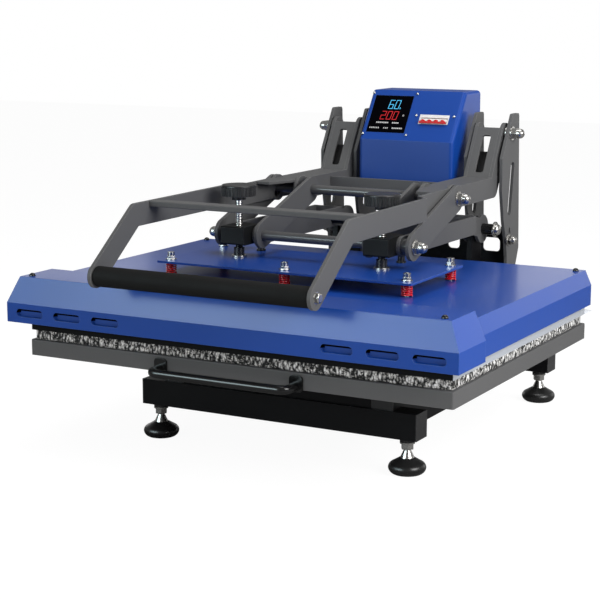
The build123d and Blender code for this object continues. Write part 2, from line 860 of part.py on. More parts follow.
def shaft_places():
    """Where the link's shaft stands in the handle frame as the frame is lifted."""
    places = []
    for i in range(travel_steps + 1):
        lift = handle_travel * i / travel_steps
        front = turned(link_low, lower_pivot, arm_ratio * lift)
        shaft = turned(turned(link_high, lower_pivot, arm_ratio * lift), front, link_ratio * lift)
        places.append(turned(shaft, upper_pivot, -lift))
    return places


def open_slot():
    """The clearance slot that lets the link's shaft ride in the frame."""
    reach = link_shaft_radius + open_slot_margin
    places = shaft_places()
    slot = disc(places[0], reach)
    for start, end in zip(places, places[1:]):
        slot += strip(start, end, reach) + disc(end, reach)
    return slot


def rear_limb():
    """The outline from the upper pivot down to the elbow and forward to the link."""
    outline = disc(upper_pivot, bar_half) + strip(upper_pivot, elbow, bar_half)
    outline += disc(elbow, bar_half) + strip(elbow, link_high, bar_half)
    outline += disc(link_high, flange_nose_radius)
    return outline - disc(upper_pivot, upper_pin_radius + running_clearance) - open_slot()


def front_arm():
    """The outline from the link forward to the bend and down to the grip."""
    outline = strip(link_high, arm_bend, bar_half) + disc(arm_bend, 4)
    outline += strip(arm_bend, grip_centre, bar_half) + disc(grip_centre, bar_half)
    corner = disc(arm_bend, bar_half)
    return outline + corner


def handle_plate():
    """A side plate of the frame, set outwards in front of the links by a double bend."""
    t = plate_steel
    inner, outer = flange_outer_face, handle_arm_face
    outline = (rear_limb() + front_arm()) - open_slot()
    blank = slab(outline, inner - 1, outer + t + 1)
    front, rear = fold_ends[0], rear_y + fold_ends[1]
    points = ((inner, rear), (inner, jog_rear), (outer, jog_front), (outer, front),
              (outer + t, front), (outer + t, jog_front), (inner + t, jog_rear), (inner + t, rear))
    fold = extrude(make_face(Polyline(*points, close=True)), amount=upright_top)
    plate = blank & fold
    return plate - bar_x(grip_centre, grip_core_radius, outer - 1, outer + t + 1)


nodes["handle_plates"] = group(both(handle_plate()))
inner_flange = slab(rear_limb(), flange_inner_face, flange_inner_face + plate_steel)
nodes["handle_inner_plates"] = group(both(inner_flange))

web_in = flange_inner_face + plate_steel
web_out = flange_outer_face
web_mid = (web_in + web_out) / 2
limb_turn = math.atan2(upper_pivot[1] - elbow[1], upper_pivot[0] - elbow[0])
limb_length = math.dist(upper_pivot, elbow)


def limb_web(web, along, off):
    """A plate across the upright limb, so far up it and so far in front of its middle line."""
    way = (math.cos(limb_turn), math.sin(limb_turn))
    y = elbow[0] + along * way[0] - off * way[1]
    z = elbow[1] + along * way[1] + off * way[0]
    return Pos(web_mid, y, z) * Rot(math.degrees(limb_turn), 0, 0) * web


def front_web():
    """The slotted plate that closes the front of the upright limb."""
    web = Box(web_out - web_in, limb_length + 4, web_steel)
    slot = extrude(RectangleRounded(*web_slot), amount=web_steel, both=True)
    web -= Pos(0, web_slot_rise, 0) * slot
    return limb_web(web, limb_length / 2, bar_half - web_steel / 2)


def rear_web():
    """The plate that closes the rear of the limb, short of the pivot."""
    web = Box(web_out - web_in, rear_web_length, web_steel)
    return limb_web(web, rear_web_length / 2, web_steel / 2 - bar_half)


def top_web():
    """The plate that closes the top of the level limb, with a tapered nose."""
    z = elbow[1] + bar_half - web_steel
    rear = elbow[0] - web_rear_reach
    points = ((web_in, rear), (web_in, web_shoulder), (web_in + web_nose_taper, web_nose),
              (web_out, web_nose), (web_out, rear))
    return Pos(0, 0, z) * extrude(make_face(Polyline(*points, close=True)), amount=web_steel)


nodes["handle_webs"] = group(both(front_web()) + both(rear_web()) + both(top_web()))

cross_plate = block(-flange_inner_face, flange_inner_face, cross_plate_y, cross_plate_y + cross_plate_steel,
                    elbow[1] - bar_half, elbow[1] + bar_half - 8)
bar_top = arm_bend[1] + bar_half
cross_bar = block(-handle_arm_face, handle_arm_face, cross_bar_front, cross_bar_front + cross_bar_depth,
                  bar_top - cross_bar_height, bar_top)
cross_bar = fillet(cross_bar.edges().filter_by(Axis.X), 2)
nodes["handle_cross_members"] = group([cross_plate, cross_bar])

arm_outside = handle_arm_face + plate_steel
grip_core = bar_x(grip_centre, grip_core_radius, -arm_outside, arm_outside)
for side in (-1, 1):
    head = bar_x(grip_centre, 10, arm_outside, arm_outside + 9)
    head = fillet(head.edges().sort_by(Axis.X)[-1], 3)
    grip_core += head if side > 0 else mirror(head, about=Plane.YZ)
nodes["grip_core"] = grip_core
grip = bar_x(grip_centre, grip_radius, -handle_arm_face + 0.3, handle_arm_face - 0.3)
grip = fillet(grip.edges(), 4)
grip_bore = bar_x(grip_centre, grip_core_radius + press_clearance, -handle_arm_face, handle_arm_face)
nodes["foam_grip"] = grip - grip_bore


# Uprights and rear frame

def upright(face):
    """A tall side plate that carries the handle frame's pivot."""
    rear = rear_beam_y + beam_depth
    step = [(rear + y, z) for y, z in upright_step]
    front_edge = [(rear_y + y, z) for y, z in upright_front_edge]
    outline = Polyline((rear_beam_y, beam_top), (rear, beam_top), *step, *front_edge, close=True)
    plate = slab(make_face(outline), face, face + upright_steel)
    plate = fillet(plate.edges().filter_by(Axis.X), 8)
    slot = strip(*upright_slot, upright_slot_half)
    for end in upright_slot:
        slot += disc(end, upright_slot_half)
    plate -= slab(slot, face, face + upright_steel)
    cable = strip(*cable_slot, cable_slot_half)
    for end in cable_slot:
        cable += disc(end, cable_slot_half)
    plate -= slab(cable, face, face + upright_steel)
    return plate - bar_x(upper_pivot, upper_pin_radius, face - 1, face + upright_steel + 1)


nodes["uprights_outer"] = group(both(upright(upright_outer_face)))
nodes["uprights_inner"] = group(both(upright(upright_inner_face)))


def pedestal():
    """The plate on the base that carries the lower pivot."""
    outline = Polyline((pivot_beam_y, beam_top), (pivot_beam_y + beam_depth, beam_top),
                       (lower_pivot[0] + pedestal_end_radius, lower_pivot[1]),
                       (lower_pivot[0] - pedestal_end_radius, lower_pivot[1]), close=True)
    shape = make_face(outline) + disc(lower_pivot, pedestal_end_radius)
    shape -= Pos(*pedestal_window_place) * RectangleRounded(*pedestal_window, 12)
    plate = slab(shape, pedestal_face, pedestal_face + pedestal_steel)
    far_face = pedestal_face + pedestal_steel
    return plate - bar_x(lower_pivot, lower_shaft_radius, pedestal_face - 1, far_face + 1)


nodes["pivot_pedestals"] = group(both(pedestal()))

upper_pin = bar_x(upper_pivot, upper_pin_radius, upright_inner_face, upright_outer_face + upright_steel)
upper_pin += bar_x(upper_pivot, collar_radius, upright_inner_face + upright_steel, flange_inner_face)
upper_pin += bar_x(upper_pivot, collar_radius, flange_outer_face + plate_steel, upright_outer_face)
upper_pin += end_bolt(upper_pivot, upright_outer_face + upright_steel, bolt_head_radius, upper_head_length)
lower_pin = bar_x(lower_pivot, lower_shaft_radius, fork_faces[0] - 4, lower_shaft_end)
lower_pin += end_bolt(lower_pivot, lower_shaft_end, pedestal_head_radius, pedestal_head_length,
                      nut_flat_share)
tie_bolt = end_bolt(tie_place, upright_outer_face + upright_steel, tie_head_radius, tie_head_length)
nodes["pivot_pins"] = group(both(upper_pin) + both(lower_pin) + both(tie_bolt))


def brace(x0, x1, windows):
    """A plate across the back between uprights, with round-cornered windows."""
    plate = block(x0, x1, brace_y, brace_y + brace_steel, brace_low, brace_high)
    for centre, width in windows:
        tool = Plane.XZ.offset(-brace_y) * RectangleRounded(width, brace_window_height, 10)
        tool = extrude(tool, amount=brace_steel * 2, both=True)
        plate -= Pos(centre, 0, brace_window_z) * tool
    return plate


inner_gap = upright_inner_face
outer_gap = (upright_inner_face + upright_steel, upright_outer_face)
side_brace = brace(outer_gap[0], outer_gap[1], ((sum(outer_gap) / 2, side_brace_window),))
centre_brace = brace(-inner_gap, inner_gap, centre_brace_windows)
nodes["rear_braces"] = group([centre_brace] + both(side_brace))


# Control box

panel_run = box_panel_top[0] - box_front
panel_rise = box_panel_top[1] - box_bend
panel = Plane(origin=(0, box_front, box_bend), x_dir=(1, 0, 0),
              z_dir=(0, -panel_rise, panel_run))


def on_panel(x, v, shape):
    """A piece drawn flat, set on the sloped panel at a place across it and up it."""
    return panel * Pos(x, v, 0) * shape


def box_form(inset):
    """The control box's form, smaller all round by an inset."""
    c = inset
    outline = Polyline((box_front + c, box_low + c), (box_front + c, box_bend - c * 0.4),
                       (box_panel_top[0] + c * 0.6, box_panel_top[1] - c), (box_rear, box_panel_top[1] - c),
                       (box_rear, box_low + c), close=True)
    form = slab(make_face(outline), -box_half + c, box_half - c)
    side_edges = []
    for edge in form.edges():
        middle = edge.center()
        on_side = abs(abs(middle.X) - box_half + c) < 0.1
        if on_side and middle.Y < box_rear - 0.1 and middle.Z > box_low + c + 0.1:
            side_edges.append(edge)
    return fillet(side_edges, box_corner - c)


display_hole = Box(display_size[0], display_size[1], 20)
breaker_hole = Box(breaker_size[0], breaker_size[1], 20)
shell = box_form(0) - box_form(box_sheet)
shell -= on_panel(display_place[0], display_place[1], display_hole)
shell -= on_panel(breaker_place[0], breaker_place[1], breaker_hole)
panel_screw_spots = [(-119, 131), (-1, 131), (-119, 15), (-1, 15), (12, 71), (112, 71)]
for x, v in panel_screw_spots:
    shell -= on_panel(x, v, Cylinder(2, 12))
nodes["control_box_shell"] = shell


def gland_at(back):
    """The place of a round piece of the gland, so far behind the box's rear face."""
    return Pos(gland_place[0], box_rear + back, gland_place[1]) * Rot(90, 0, 0)


box_back = block(-box_half + box_sheet, box_half - box_sheet, box_rear - box_sheet, box_rear,
                 box_low + box_sheet, box_panel_top[1] - box_sheet)
top_corners = box_back.edges().filter_by(Axis.Y).sort_by(Axis.Z)[-2:]
box_back = fillet(top_corners, box_corner - box_sheet)
box_back -= gland_at(0) * Cylinder(gland_neck_radius, 10)
vent_half, vent_gap, vent_pitch = box_vent
for row in range(5):
    vent_z = box_low + box_vent_rise + vent_pitch * row
    box_back -= block(-vent_half, vent_half, box_rear - 5, box_rear + 5, vent_z, vent_z + vent_gap)
nodes["control_box_back"] = box_back

shelf_half = upright_inner_face
nodes["box_shelf"] = block(-shelf_half, shelf_half, *shelf_depth, box_low - shelf_steel, box_low)

glass = Pos(0, 0, -0.3) * Box(display_size[0] - 0.4, display_size[1] - 0.4, 1.8)
display_body = Pos(0, 0, -12) * Box(display_size[0] - 6, display_size[1] - 6, 21.6)
nodes["display_module"] = on_panel(display_place[0], display_place[1], glass + display_body)

breaker_width, breaker_rise = breaker_size
body = Pos(0, 0, 1 - breaker_depth / 2) * Box(breaker_width - 0.4, breaker_rise - 0.4, breaker_depth)
pocket_half = toggle_drum + toggle_drum_gap
pocket_depth = 1 + toggle_depth + pocket_half
pocket = Pos(0, -toggle_drop, 1 - pocket_depth / 2) * Box(breaker_width - 6, 2 * pocket_half, pocket_depth)
pin_seat = Rot(0, 90, 0) * Cylinder(toggle_pin + running_clearance, breaker_width - 2)
pin_seat = Pos(0, -toggle_drop, -toggle_depth) * pin_seat
nodes["breaker_body"] = on_panel(breaker_place[0], breaker_place[1], body - pocket - pin_seat)


def toggles():
    """Four breaker toggles joined by one bar, turning on a pin in the body's pocket."""
    pitch = (breaker_width - 8) / breaker_poles
    piece = Rot(0, 90, 0) * Cylinder(toggle_pin, breaker_width - 2)
    for i in range(breaker_poles):
        x = (i - (breaker_poles - 1) / 2) * pitch
        lever = Cylinder(toggle_radius, toggle_reach)
        lever = fillet(lever.edges().sort_by(Axis.Z)[-1], 1.5)
        drum = Rot(0, 90, 0) * Cylinder(toggle_drum, pitch - toggle_drum_gap)
        piece += Pos(x, 0, 0) * drum + Pos(x, 0, toggle_reach / 2) * lever
    rise, thick = toggle_bar
    piece += Pos(0, -rise / 2, toggle_reach - thick / 2) * Box(breaker_width - 8, rise, thick)
    set_down = Pos(0, -toggle_drop, -toggle_depth) * Rot(toggle_lean, 0, 0) * piece
    return on_panel(breaker_place[0], breaker_place[1], set_down)


nodes["breaker_toggles"] = toggles()

panel_screws = []
for x, v in panel_screw_spots:
    head = Sphere(3.6) & Pos(0, 0, 2.5) * Box(10, 10, 5)
    panel_screws.append(on_panel(x, v, head + Pos(0, 0, -4) * Cylinder(2, 8)))
nodes["panel_screws"] = group(panel_screws)

board_low = box_low + board_rise
board_top = board_low + board_steel
left, right, front, rear = board_corners
board = block(*board_corners, board_low, board_top)
for x in (left + 8, right - 8):
    for y in (front + 8, rear - 8):
        board += rod_z(x, y, 3, box_low + box_sheet, board_low)
for x, y, w, d, h in board_blocks:
    y0 = front + y - d / 2
    board += block(x - w / 2, x + w / 2, y0, y0 + d, board_top, board_top + h)
relay = block(*relay_corners, box_low + box_sheet, box_low + relay_height)
nodes["control_electronics"] = group([board, relay])

gland = gland_at(gland_length / 2) * Cylinder(gland_radius, gland_length)
gland += gland_at(-6) * Cylinder(gland_neck_radius, 16)
nodes["mains_gland"] = gland - gland_at(0) * Cylinder(gland_bore_radius, 60)


# The finished press is set with its middle over the origin and its feet on the floor

press_front = grip_centre[0] - grip_radius
press_rear = box_rear + gland_length
middle = (press_front + press_rear) / 2
print("the press is moved forward by", middle)

os.makedirs("parts", exist_ok=True)
for name, shape in nodes.items():
    export_step(Pos(0, -middle, -floor_level) * shape, "parts/" + name + ".step")
print(len(nodes), "nodes written")
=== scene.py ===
import json
import math
import bpy
import bmesh
from mathutils import Matrix, Vector, noise

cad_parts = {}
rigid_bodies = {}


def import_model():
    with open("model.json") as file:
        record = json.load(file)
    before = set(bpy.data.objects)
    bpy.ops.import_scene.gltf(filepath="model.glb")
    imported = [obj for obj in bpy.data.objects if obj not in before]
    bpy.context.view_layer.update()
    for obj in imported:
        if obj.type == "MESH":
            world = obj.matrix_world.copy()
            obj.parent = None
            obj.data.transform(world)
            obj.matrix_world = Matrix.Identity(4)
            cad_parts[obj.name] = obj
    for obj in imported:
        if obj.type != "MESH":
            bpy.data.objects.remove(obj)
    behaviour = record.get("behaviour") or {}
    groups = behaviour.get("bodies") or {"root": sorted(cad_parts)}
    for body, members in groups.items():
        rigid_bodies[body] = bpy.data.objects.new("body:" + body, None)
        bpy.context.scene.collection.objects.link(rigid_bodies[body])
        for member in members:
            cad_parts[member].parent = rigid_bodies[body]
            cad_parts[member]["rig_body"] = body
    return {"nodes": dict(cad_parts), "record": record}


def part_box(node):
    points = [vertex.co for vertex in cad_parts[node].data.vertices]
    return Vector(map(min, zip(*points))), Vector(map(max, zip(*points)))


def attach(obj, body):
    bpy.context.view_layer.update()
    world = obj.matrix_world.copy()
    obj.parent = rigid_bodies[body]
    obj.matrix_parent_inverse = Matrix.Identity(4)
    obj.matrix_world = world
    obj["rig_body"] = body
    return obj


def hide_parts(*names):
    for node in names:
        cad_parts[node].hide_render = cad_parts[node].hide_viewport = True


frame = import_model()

print("stage: frame loaded with", len(frame["nodes"]), "nodes")
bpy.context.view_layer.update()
scene = bpy.context.scene
nodes = frame["nodes"]


# Small helpers for node trees

def link(tree, source, target):
    tree.links.new(source, target)


def give(tree, socket, value):
    # a plain value is set on the socket, and another node's output is linked to it
    if isinstance(value, (int, float, tuple)):
        socket.default_value = value
    else:
        link(tree, value, socket)


def feed(tree, node, **values):
    for label, value in values.items():
        give(tree, node.inputs[label.replace("_", " ")], value)
    return node


def addNode(tree, kind, **settings):
    node = tree.nodes.new(kind)
    for key, value in settings.items():
        setattr(node, key, value)
    return node


def addMath(tree, operation, first, second=None, third=None, clamp=False):
    node = addNode(tree, "ShaderNodeMath", operation=operation, use_clamp=clamp)
    for socket, value in zip(node.inputs, (first, second, third)):
        if value is not None:
            give(tree, socket, value)
    return node.outputs[0]


def addNoise(tree, coordinates, scale, detail, roughness, distortion=0.0):
    node = addNode(tree, "ShaderNodeTexNoise")
    return feed(tree, node, Vector=coordinates, Scale=scale, Detail=detail, Roughness=roughness,
                Distortion=distortion)


def addRamp(tree, source, stops):
    node = addNode(tree, "ShaderNodeValToRGB")
    ramp = node.color_ramp
    while len(ramp.elements) < len(stops):
        ramp.elements.new(0.5)
    for element, (place, colour) in zip(ramp.elements, stops):
        element.position = place
        element.color = colour
    return feed(tree, node, Fac=source).outputs["Color"]


def addMix(tree, factor, first, second):
    node = addNode(tree, "ShaderNodeMix", data_type="RGBA")
    for index, value in ((0, factor), (6, first), (7, second)):
        give(tree, node.inputs[index], value)
    return node.outputs[2]


def addSplit(tree, vector):
    return feed(tree, addNode(tree, "ShaderNodeSeparateXYZ"), Vector=vector).outputs


def addBevel(tree, radius):
    return feed(tree, addNode(tree, "ShaderNodeBevel", samples=6), Radius=radius).outputs["Normal"]


def addBump(tree, height, strength, distance):
    return feed(tree, addNode(tree, "ShaderNodeBump"), Height=height, Strength=strength, Distance=distance)


def grey(value):
    return (value, value, value, 1.0)


def newGroup(name, inputs, outputs):
    tree = bpy.data.node_groups.new(name, "ShaderNodeTree")
    for label, kind, value in inputs:
        socket = tree.interface.new_socket(label, in_out="INPUT", socket_type="NodeSocket" + kind)
        if value is not None:
            socket.default_value = value
    for label, kind in outputs:
        tree.interface.new_socket(label, in_out="OUTPUT", socket_type="NodeSocket" + kind)
    return tree, addNode(tree, "NodeGroupInput").outputs, addNode(tree, "NodeGroupOutput").inputs


# Shared effects, each one a node group

def makeSoftRelief():
    # rounded edge highlights, a fine orange peel and the mask of edges that coats lighten, partly as worn
    # paint and partly as painted highlight
    look = {"depth": 0.0006, "flat": 0.985, "sharp": 0.86, "patches": 60.0}
    tree, given, out = newGroup("softRelief", [
        ("Coordinates", "Vector", None), ("Edge Radius", "Float", 0.0015), ("Grain Scale", "Float", 700.0),
        ("Grain Depth", "Float", 0.1)], [("Normal", "Vector"), ("Edge", "Float")])
    rounded = addBevel(tree, given["Edge Radius"])
    fine = addNoise(tree, given["Coordinates"], given["Grain Scale"], 4.0, 0.6)
    bump = addBump(tree, fine.outputs["Fac"], given["Grain Depth"], look["depth"])
    turn = addNode(tree, "ShaderNodeVectorMath", operation="DOT_PRODUCT")
    link(tree, rounded, turn.inputs[0])
    link(tree, addNode(tree, "ShaderNodeNewGeometry").outputs["True Normal"], turn.inputs[1])
    edgeWearAndHighlight = addNode(tree, "ShaderNodeMapRange", interpolation_type="SMOOTHSTEP")
    feed(tree, edgeWearAndHighlight, Value=turn.outputs["Value"], From_Min=look["flat"], From_Max=look["sharp"], To_Min=0.0,
         To_Max=1.0)
    patchy = addNoise(tree, given["Coordinates"], look["patches"], 5.0, 0.7)
    link(tree, feed(tree, bump, Normal=rounded).outputs["Normal"], out["Normal"])
    link(tree, addMath(tree, "MULTIPLY", edgeWearAndHighlight.outputs[0], patchy.outputs["Fac"], clamp=True), out["Edge"])
    return tree


def makeToneDrift():
    # slow cloudy change of a coat's tone over the piece
    tree, given, out = newGroup("toneDrift", [
        ("Coordinates", "Vector", None), ("Color", "Color", grey(0.5)), ("Amount", "Float", 0.15),
        ("Scale", "Float", 4.0)], [("Color", "Color"), ("Value", "Float")])
    cloud = addNoise(tree, given["Coordinates"], given["Scale"], 4.0, 0.5, 0.4).outputs["Fac"]
    swing = addMath(tree, "MULTIPLY_ADD", addMath(tree, "SUBTRACT", cloud, 0.5), given["Amount"], 1.0)
    tint = feed(tree, addNode(tree, "ShaderNodeHueSaturation"), Color=given["Color"], Value=swing)
    link(tree, tint.outputs["Color"], out["Color"])
    link(tree, cloud, out["Value"])
    return tree


def makeDustVeil():
    # a thin patchy veil on faces that look up
    look = {"patches": 14.0, "specks": 420.0}
    tree, given, out = newGroup("dustVeil", [
        ("Coordinates", "Vector", None), ("Amount", "Float", 0.1)], [("Mask", "Float")])
    facing = addSplit(tree, addNode(tree, "ShaderNodeNewGeometry").outputs["Normal"])
    upward = addMath(tree, "MULTIPLY", facing["Z"], 1.0, clamp=True)
    patches = addNoise(tree, given["Coordinates"], look["patches"], 6.0, 0.65)
    specks = addNoise(tree, given["Coordinates"], look["specks"], 2.0, 0.5)
    both = addMath(tree, "MULTIPLY", patches.outputs["Fac"], specks.outputs["Fac"])
    lit = addMath(tree, "MULTIPLY", both, upward)
    link(tree, addMath(tree, "MULTIPLY", lit, given["Amount"], clamp=True), out["Mask"])
    return tree


def makeBrushedLines():
    # fine drawn lines along one axis of bare metal
    look = {"edge": 0.0008, "depth": 0.0003}
    tree, given, out = newGroup("brushedLines", [
        ("Coordinates", "Vector", None), ("Stretch", "Vector", (4.0, 400.0, 400.0)), ("Depth", "Float", 0.1)],
        [("Value", "Float"), ("Normal", "Vector")])
    mapping = addNode(tree, "ShaderNodeMapping")
    feed(tree, mapping, Vector=given["Coordinates"], Scale=given["Stretch"])
    lines = addNoise(tree, mapping.outputs["Vector"], 1.0, 4.0, 0.7).outputs["Fac"]
    bump = addBump(tree, lines, given["Depth"], look["depth"])
    feed(tree, bump, Normal=addBevel(tree, look["edge"]))
    link(tree, lines, out["Value"])
    link(tree, bump.outputs["Normal"], out["Normal"])
    return tree


def makeFoamFlecks():
    # the pad's tangle of black, grey and white crumbs, with painted shade in the recessed gaps between them
    look = {"warp": 130.0, "shift": 0.006, "turns": ((0.7, (1.0, 1.0, 0.45)), (-0.8, (0.8, 0.8, 1.9))),
            "tones": ((0.0, grey(0.012)), (0.28, grey(0.02)), (0.34, (0.25, 0.245, 0.23, 1)),
                      (0.42, (0.6, 0.59, 0.56, 1)), (0.48, (0.88, 0.87, 0.84, 1)), (1.0, grey(0.94))),
            "shares": (0.6, 0.4), "gap": (2.2, -0.6), "gapShade": 0.02}
    tree, given, out = newGroup("foamFlecks", [
        ("Coordinates", "Vector", None), ("Scale", "Float", 240.0)],
        [("Color", "Color"), ("Height", "Float")])
    warp = addNoise(tree, given["Coordinates"], look["warp"], 2.0, 0.5)
    shift = feed(tree, addNode(tree, "ShaderNodeVectorMath", operation="SCALE"), Scale=look["shift"])
    link(tree, warp.outputs["Color"], shift.inputs[0])
    moved = addNode(tree, "ShaderNodeVectorMath", operation="ADD")
    link(tree, given["Coordinates"], moved.inputs[0])
    link(tree, shift.outputs["Vector"], moved.inputs[1])
    shades, depths = [], []
    for turn, stretch in look["turns"]:
        mapping = addNode(tree, "ShaderNodeMapping")
        feed(tree, mapping, Vector=moved.outputs["Vector"], Rotation=(turn, turn * 0.8, 0.3), Scale=stretch)
        crumbs = addNode(tree, "ShaderNodeTexVoronoi")
        feed(tree, crumbs, Vector=mapping.outputs["Vector"], Scale=given["Scale"], Randomness=1.0)
        split = feed(tree, addNode(tree, "ShaderNodeSeparateColor"), Color=crumbs.outputs["Color"])
        shades.append(split.outputs["Red"])
        depths.append(crumbs.outputs["Distance"])
    minor = addMath(tree, "MULTIPLY", shades[1], look["shares"][1])
    pick = addMath(tree, "MULTIPLY_ADD", shades[0], look["shares"][0], minor)
    depth = addMath(tree, "MULTIPLY_ADD", depths[0], -1.0, 1.0)
    # painted shade: the crumbs' borders, sunk in the height, darken to the gap tone
    gap = addMath(tree, "MULTIPLY_ADD", depth, *look["gap"], clamp=True)
    link(tree, addMix(tree, gap, grey(look["gapShade"]), addRamp(tree, pick, look["tones"])), out["Color"])
    link(tree, addMath(tree, "MULTIPLY", depth, pick), out["Height"])
    return tree


def makeClothWeave():
    # plain weave of two crossing sets of threads
    tree, given, out = newGroup("clothWeave", [
        ("Coordinates", "Vector", None), ("Threads", "Float", 320.0)],
        [("Height", "Float"), ("Mask", "Float")])
    waves = []
    for direction in ("X", "Y"):
        wave = addNode(tree, "ShaderNodeTexWave", wave_type="BANDS", bands_direction=direction)
        feed(tree, wave, Vector=given["Coordinates"], Scale=given["Threads"], Distortion=0.6, Detail=1.0,
             Detail_Scale=2.0)
        waves.append(wave.outputs["Fac"])
    link(tree, addMath(tree, "MAXIMUM", *waves), out["Height"])
    link(tree, addMath(tree, "MULTIPLY", *waves), out["Mask"])
    return tree


groups = {
    "relief": makeSoftRelief(), "drift": makeToneDrift(), "dust": makeDustVeil(),
    "brushed": makeBrushedLines(), "flecks": makeFoamFlecks(), "weave": makeClothWeave(),
}
print("stage:", len(groups), "shared effects built")


# Materials

def startMaterial(name):
    material = bpy.data.materials.new(name)
    material.use_nodes = True
    tree = material.node_tree
    coordinates = addNode(tree, "ShaderNodeTexCoord").outputs["Object"]
    return material, tree, tree.nodes["Principled BSDF"], coordinates


def placeGroup(tree, key, coordinates, **values):
    node = addNode(tree, "ShaderNodeGroup", node_tree=groups[key])
    return feed(tree, node, Coordinates=coordinates, **values).outputs


def placeDrift(tree, coordinates, colour, amount, scale):
    return placeGroup(tree, "drift", coordinates, Color=(*colour, 1.0), Amount=amount, Scale=scale)


def spread(tree, source, low, high):
    # a value between two ends, led by a mask
    node = addNode(tree, "ShaderNodeMapRange")
    return feed(tree, node, Value=source, From_Min=0.25, From_Max=0.75, To_Min=low, To_Max=high).outputs[0]


# What a coat has unless its own look says otherwise; a drift is an amount and a scale
coatBase = {"drift": (0.2, 9.0), "edge": 0.0005, "grainScale": 900.0, "grain": 0.05, "dust": 0.0, "wearAndHighlight": 0.1,
            "wearAndHighlightColor": (0.05, 0.05, 0.05), "specular": 0.5, "coat": 0.0, "coatRough": 0.15}
# the wear amount and colour lighten a coat's edges: partly worn paint, partly painted highlight on edges that
# catch the light
coatLooks = {
    "blueCoat": {"color": (0.004, 0.055, 0.33), "drift": (0.22, 3.0), "edge": 0.0016, "grain": 0.10,
                 "dust": 0.03, "wearAndHighlight": 0.5, "wearAndHighlightColor": (0.16, 0.30, 0.66), "rough": (0.33, 0.40),
                 "specular": 0.25, "coat": 0.22, "coatRough": 0.16},
    "greyCoat": {"color": (0.102, 0.102, 0.103), "drift": (0.16, 5.0), "edge": 0.0014, "grainScale": 620.0,
                 "grain": 0.28, "dust": 0.03, "wearAndHighlight": 0.75, "wearAndHighlightColor": (0.32, 0.32, 0.32),
                 "rough": (0.50, 0.60), "specular": 0.24},
    "blackCoat": {"color": (0.005, 0.005, 0.006), "drift": (0.3, 6.0), "edge": 0.0012, "grainScale": 700.0,
                  "grain": 0.18, "dust": 0.008, "wearAndHighlight": 0.2, "rough": (0.34, 0.42), "specular": 0.14},
    "blockCoat": {"color": (0.009, 0.0095, 0.0095), "drift": (0.25, 9.0), "edge": 0.0014, "grainScale": 700.0,
                  "grain": 0.2, "dust": 0.01, "wearAndHighlight": 0.3, "wearAndHighlightColor": (0.09, 0.09, 0.09),
                  "rough": (0.38, 0.48), "specular": 0.16},
    "glossBlack": {"color": (0.005, 0.005, 0.005), "edge": 0.001, "grainScale": 500.0, "dust": 0.01,
                   "rough": (0.16, 0.24)},
    "blackPlastic": {"color": (0.013, 0.013, 0.014), "drift": (0.2, 12.0), "edge": 0.0008,
                     "grainScale": 1200.0, "grain": 0.3, "dust": 0.02, "wearAndHighlight": 0.9,
                     "wearAndHighlightColor": (0.26, 0.26, 0.26), "rough": (0.30, 0.40)},
    "footRubber": {"color": (0.010, 0.010, 0.010), "drift": (0.3, 14.0), "edge": 0.001, "grainScale": 800.0,
                   "grain": 0.12, "dust": 0.04, "rough": (0.26, 0.36)},
    "redCoat": {"color": (0.78, 0.008, 0.014), "drift": (0.2, 30.0), "grain": 0.06, "wearAndHighlight": 0.2,
                "wearAndHighlightColor": (0.8, 0.2, 0.15), "rough": (0.18, 0.26), "coat": 0.4},
    "whitePlastic": {"color": (0.80, 0.80, 0.79), "drift": (0.06, 20.0), "edge": 0.0006, "grain": 0.06,
                     "wearAndHighlight": 0.0, "rough": (0.34, 0.42), "specular": 0.4},
    "displayBlack": {"color": (0.001, 0.001, 0.002), "drift": (0.2, 10.0), "grainScale": 300.0, "grain": 0.0,
                     "wearAndHighlight": 0.0, "rough": (0.06, 0.10), "specular": 0.04},
    "boardGreen": {"color": (0.01, 0.11, 0.04), "drift": (0.2, 40.0), "grain": 0.1, "dust": 0.02,
                   "wearAndHighlightColor": (0.3, 0.4, 0.2), "rough": (0.3, 0.4)},
}
dustTone = (0.55, 0.55, 0.56, 1.0)


def coatMaterial(name, look):
    material, tree, shader, coordinates = startMaterial(name)
    drift = placeDrift(tree, coordinates, look["color"], *look["drift"])
    relief = placeGroup(tree, "relief", coordinates, Edge_Radius=look["edge"], Grain_Scale=look["grainScale"],
                        Grain_Depth=look["grain"])
    dust = placeGroup(tree, "dust", coordinates, Amount=look["dust"])
    # edges turn lighter towards the wear colour: partly worn paint, partly painted highlight
    edgeWearAndHighlight = addMath(tree, "MULTIPLY", relief["Edge"], look["wearAndHighlight"], clamp=True)
    coat = addMix(tree, edgeWearAndHighlight, drift["Color"], (*look["wearAndHighlightColor"], 1.0))
    feed(tree, shader, Base_Color=addMix(tree, dust["Mask"], coat, dustTone),
         Roughness=spread(tree, drift["Value"], *look["rough"]), Normal=relief["Normal"],
         Specular_IOR_Level=look["specular"], Coat_Weight=look["coat"], Coat_Roughness=look["coatRough"])
    return material


metalLooks = {
    "brightSteel": {"color": (0.52, 0.51, 0.49), "drift": (0.12, 30.0), "stretch": (60.0, 60.0, 400.0),
                    "depth": 0.05, "rough": (0.12, 0.24)},
    "plainSteel": {"color": (0.52, 0.53, 0.54), "drift": (0.15, 20.0), "stretch": (300.0, 6.0, 300.0),
                   "depth": 0.15, "rough": (0.24, 0.36)},
}


def metalMaterial(name, look):
    material, tree, shader, coordinates = startMaterial(name)
    lines = placeGroup(tree, "brushed", coordinates, Stretch=look["stretch"], Depth=look["depth"])
    drift = placeDrift(tree, coordinates, look["color"], *look["drift"])
    feed(tree, shader, Base_Color=drift["Color"], Roughness=spread(tree, lines["Value"], *look["rough"]),
         Normal=lines["Normal"], Metallic=1.0)
    return material


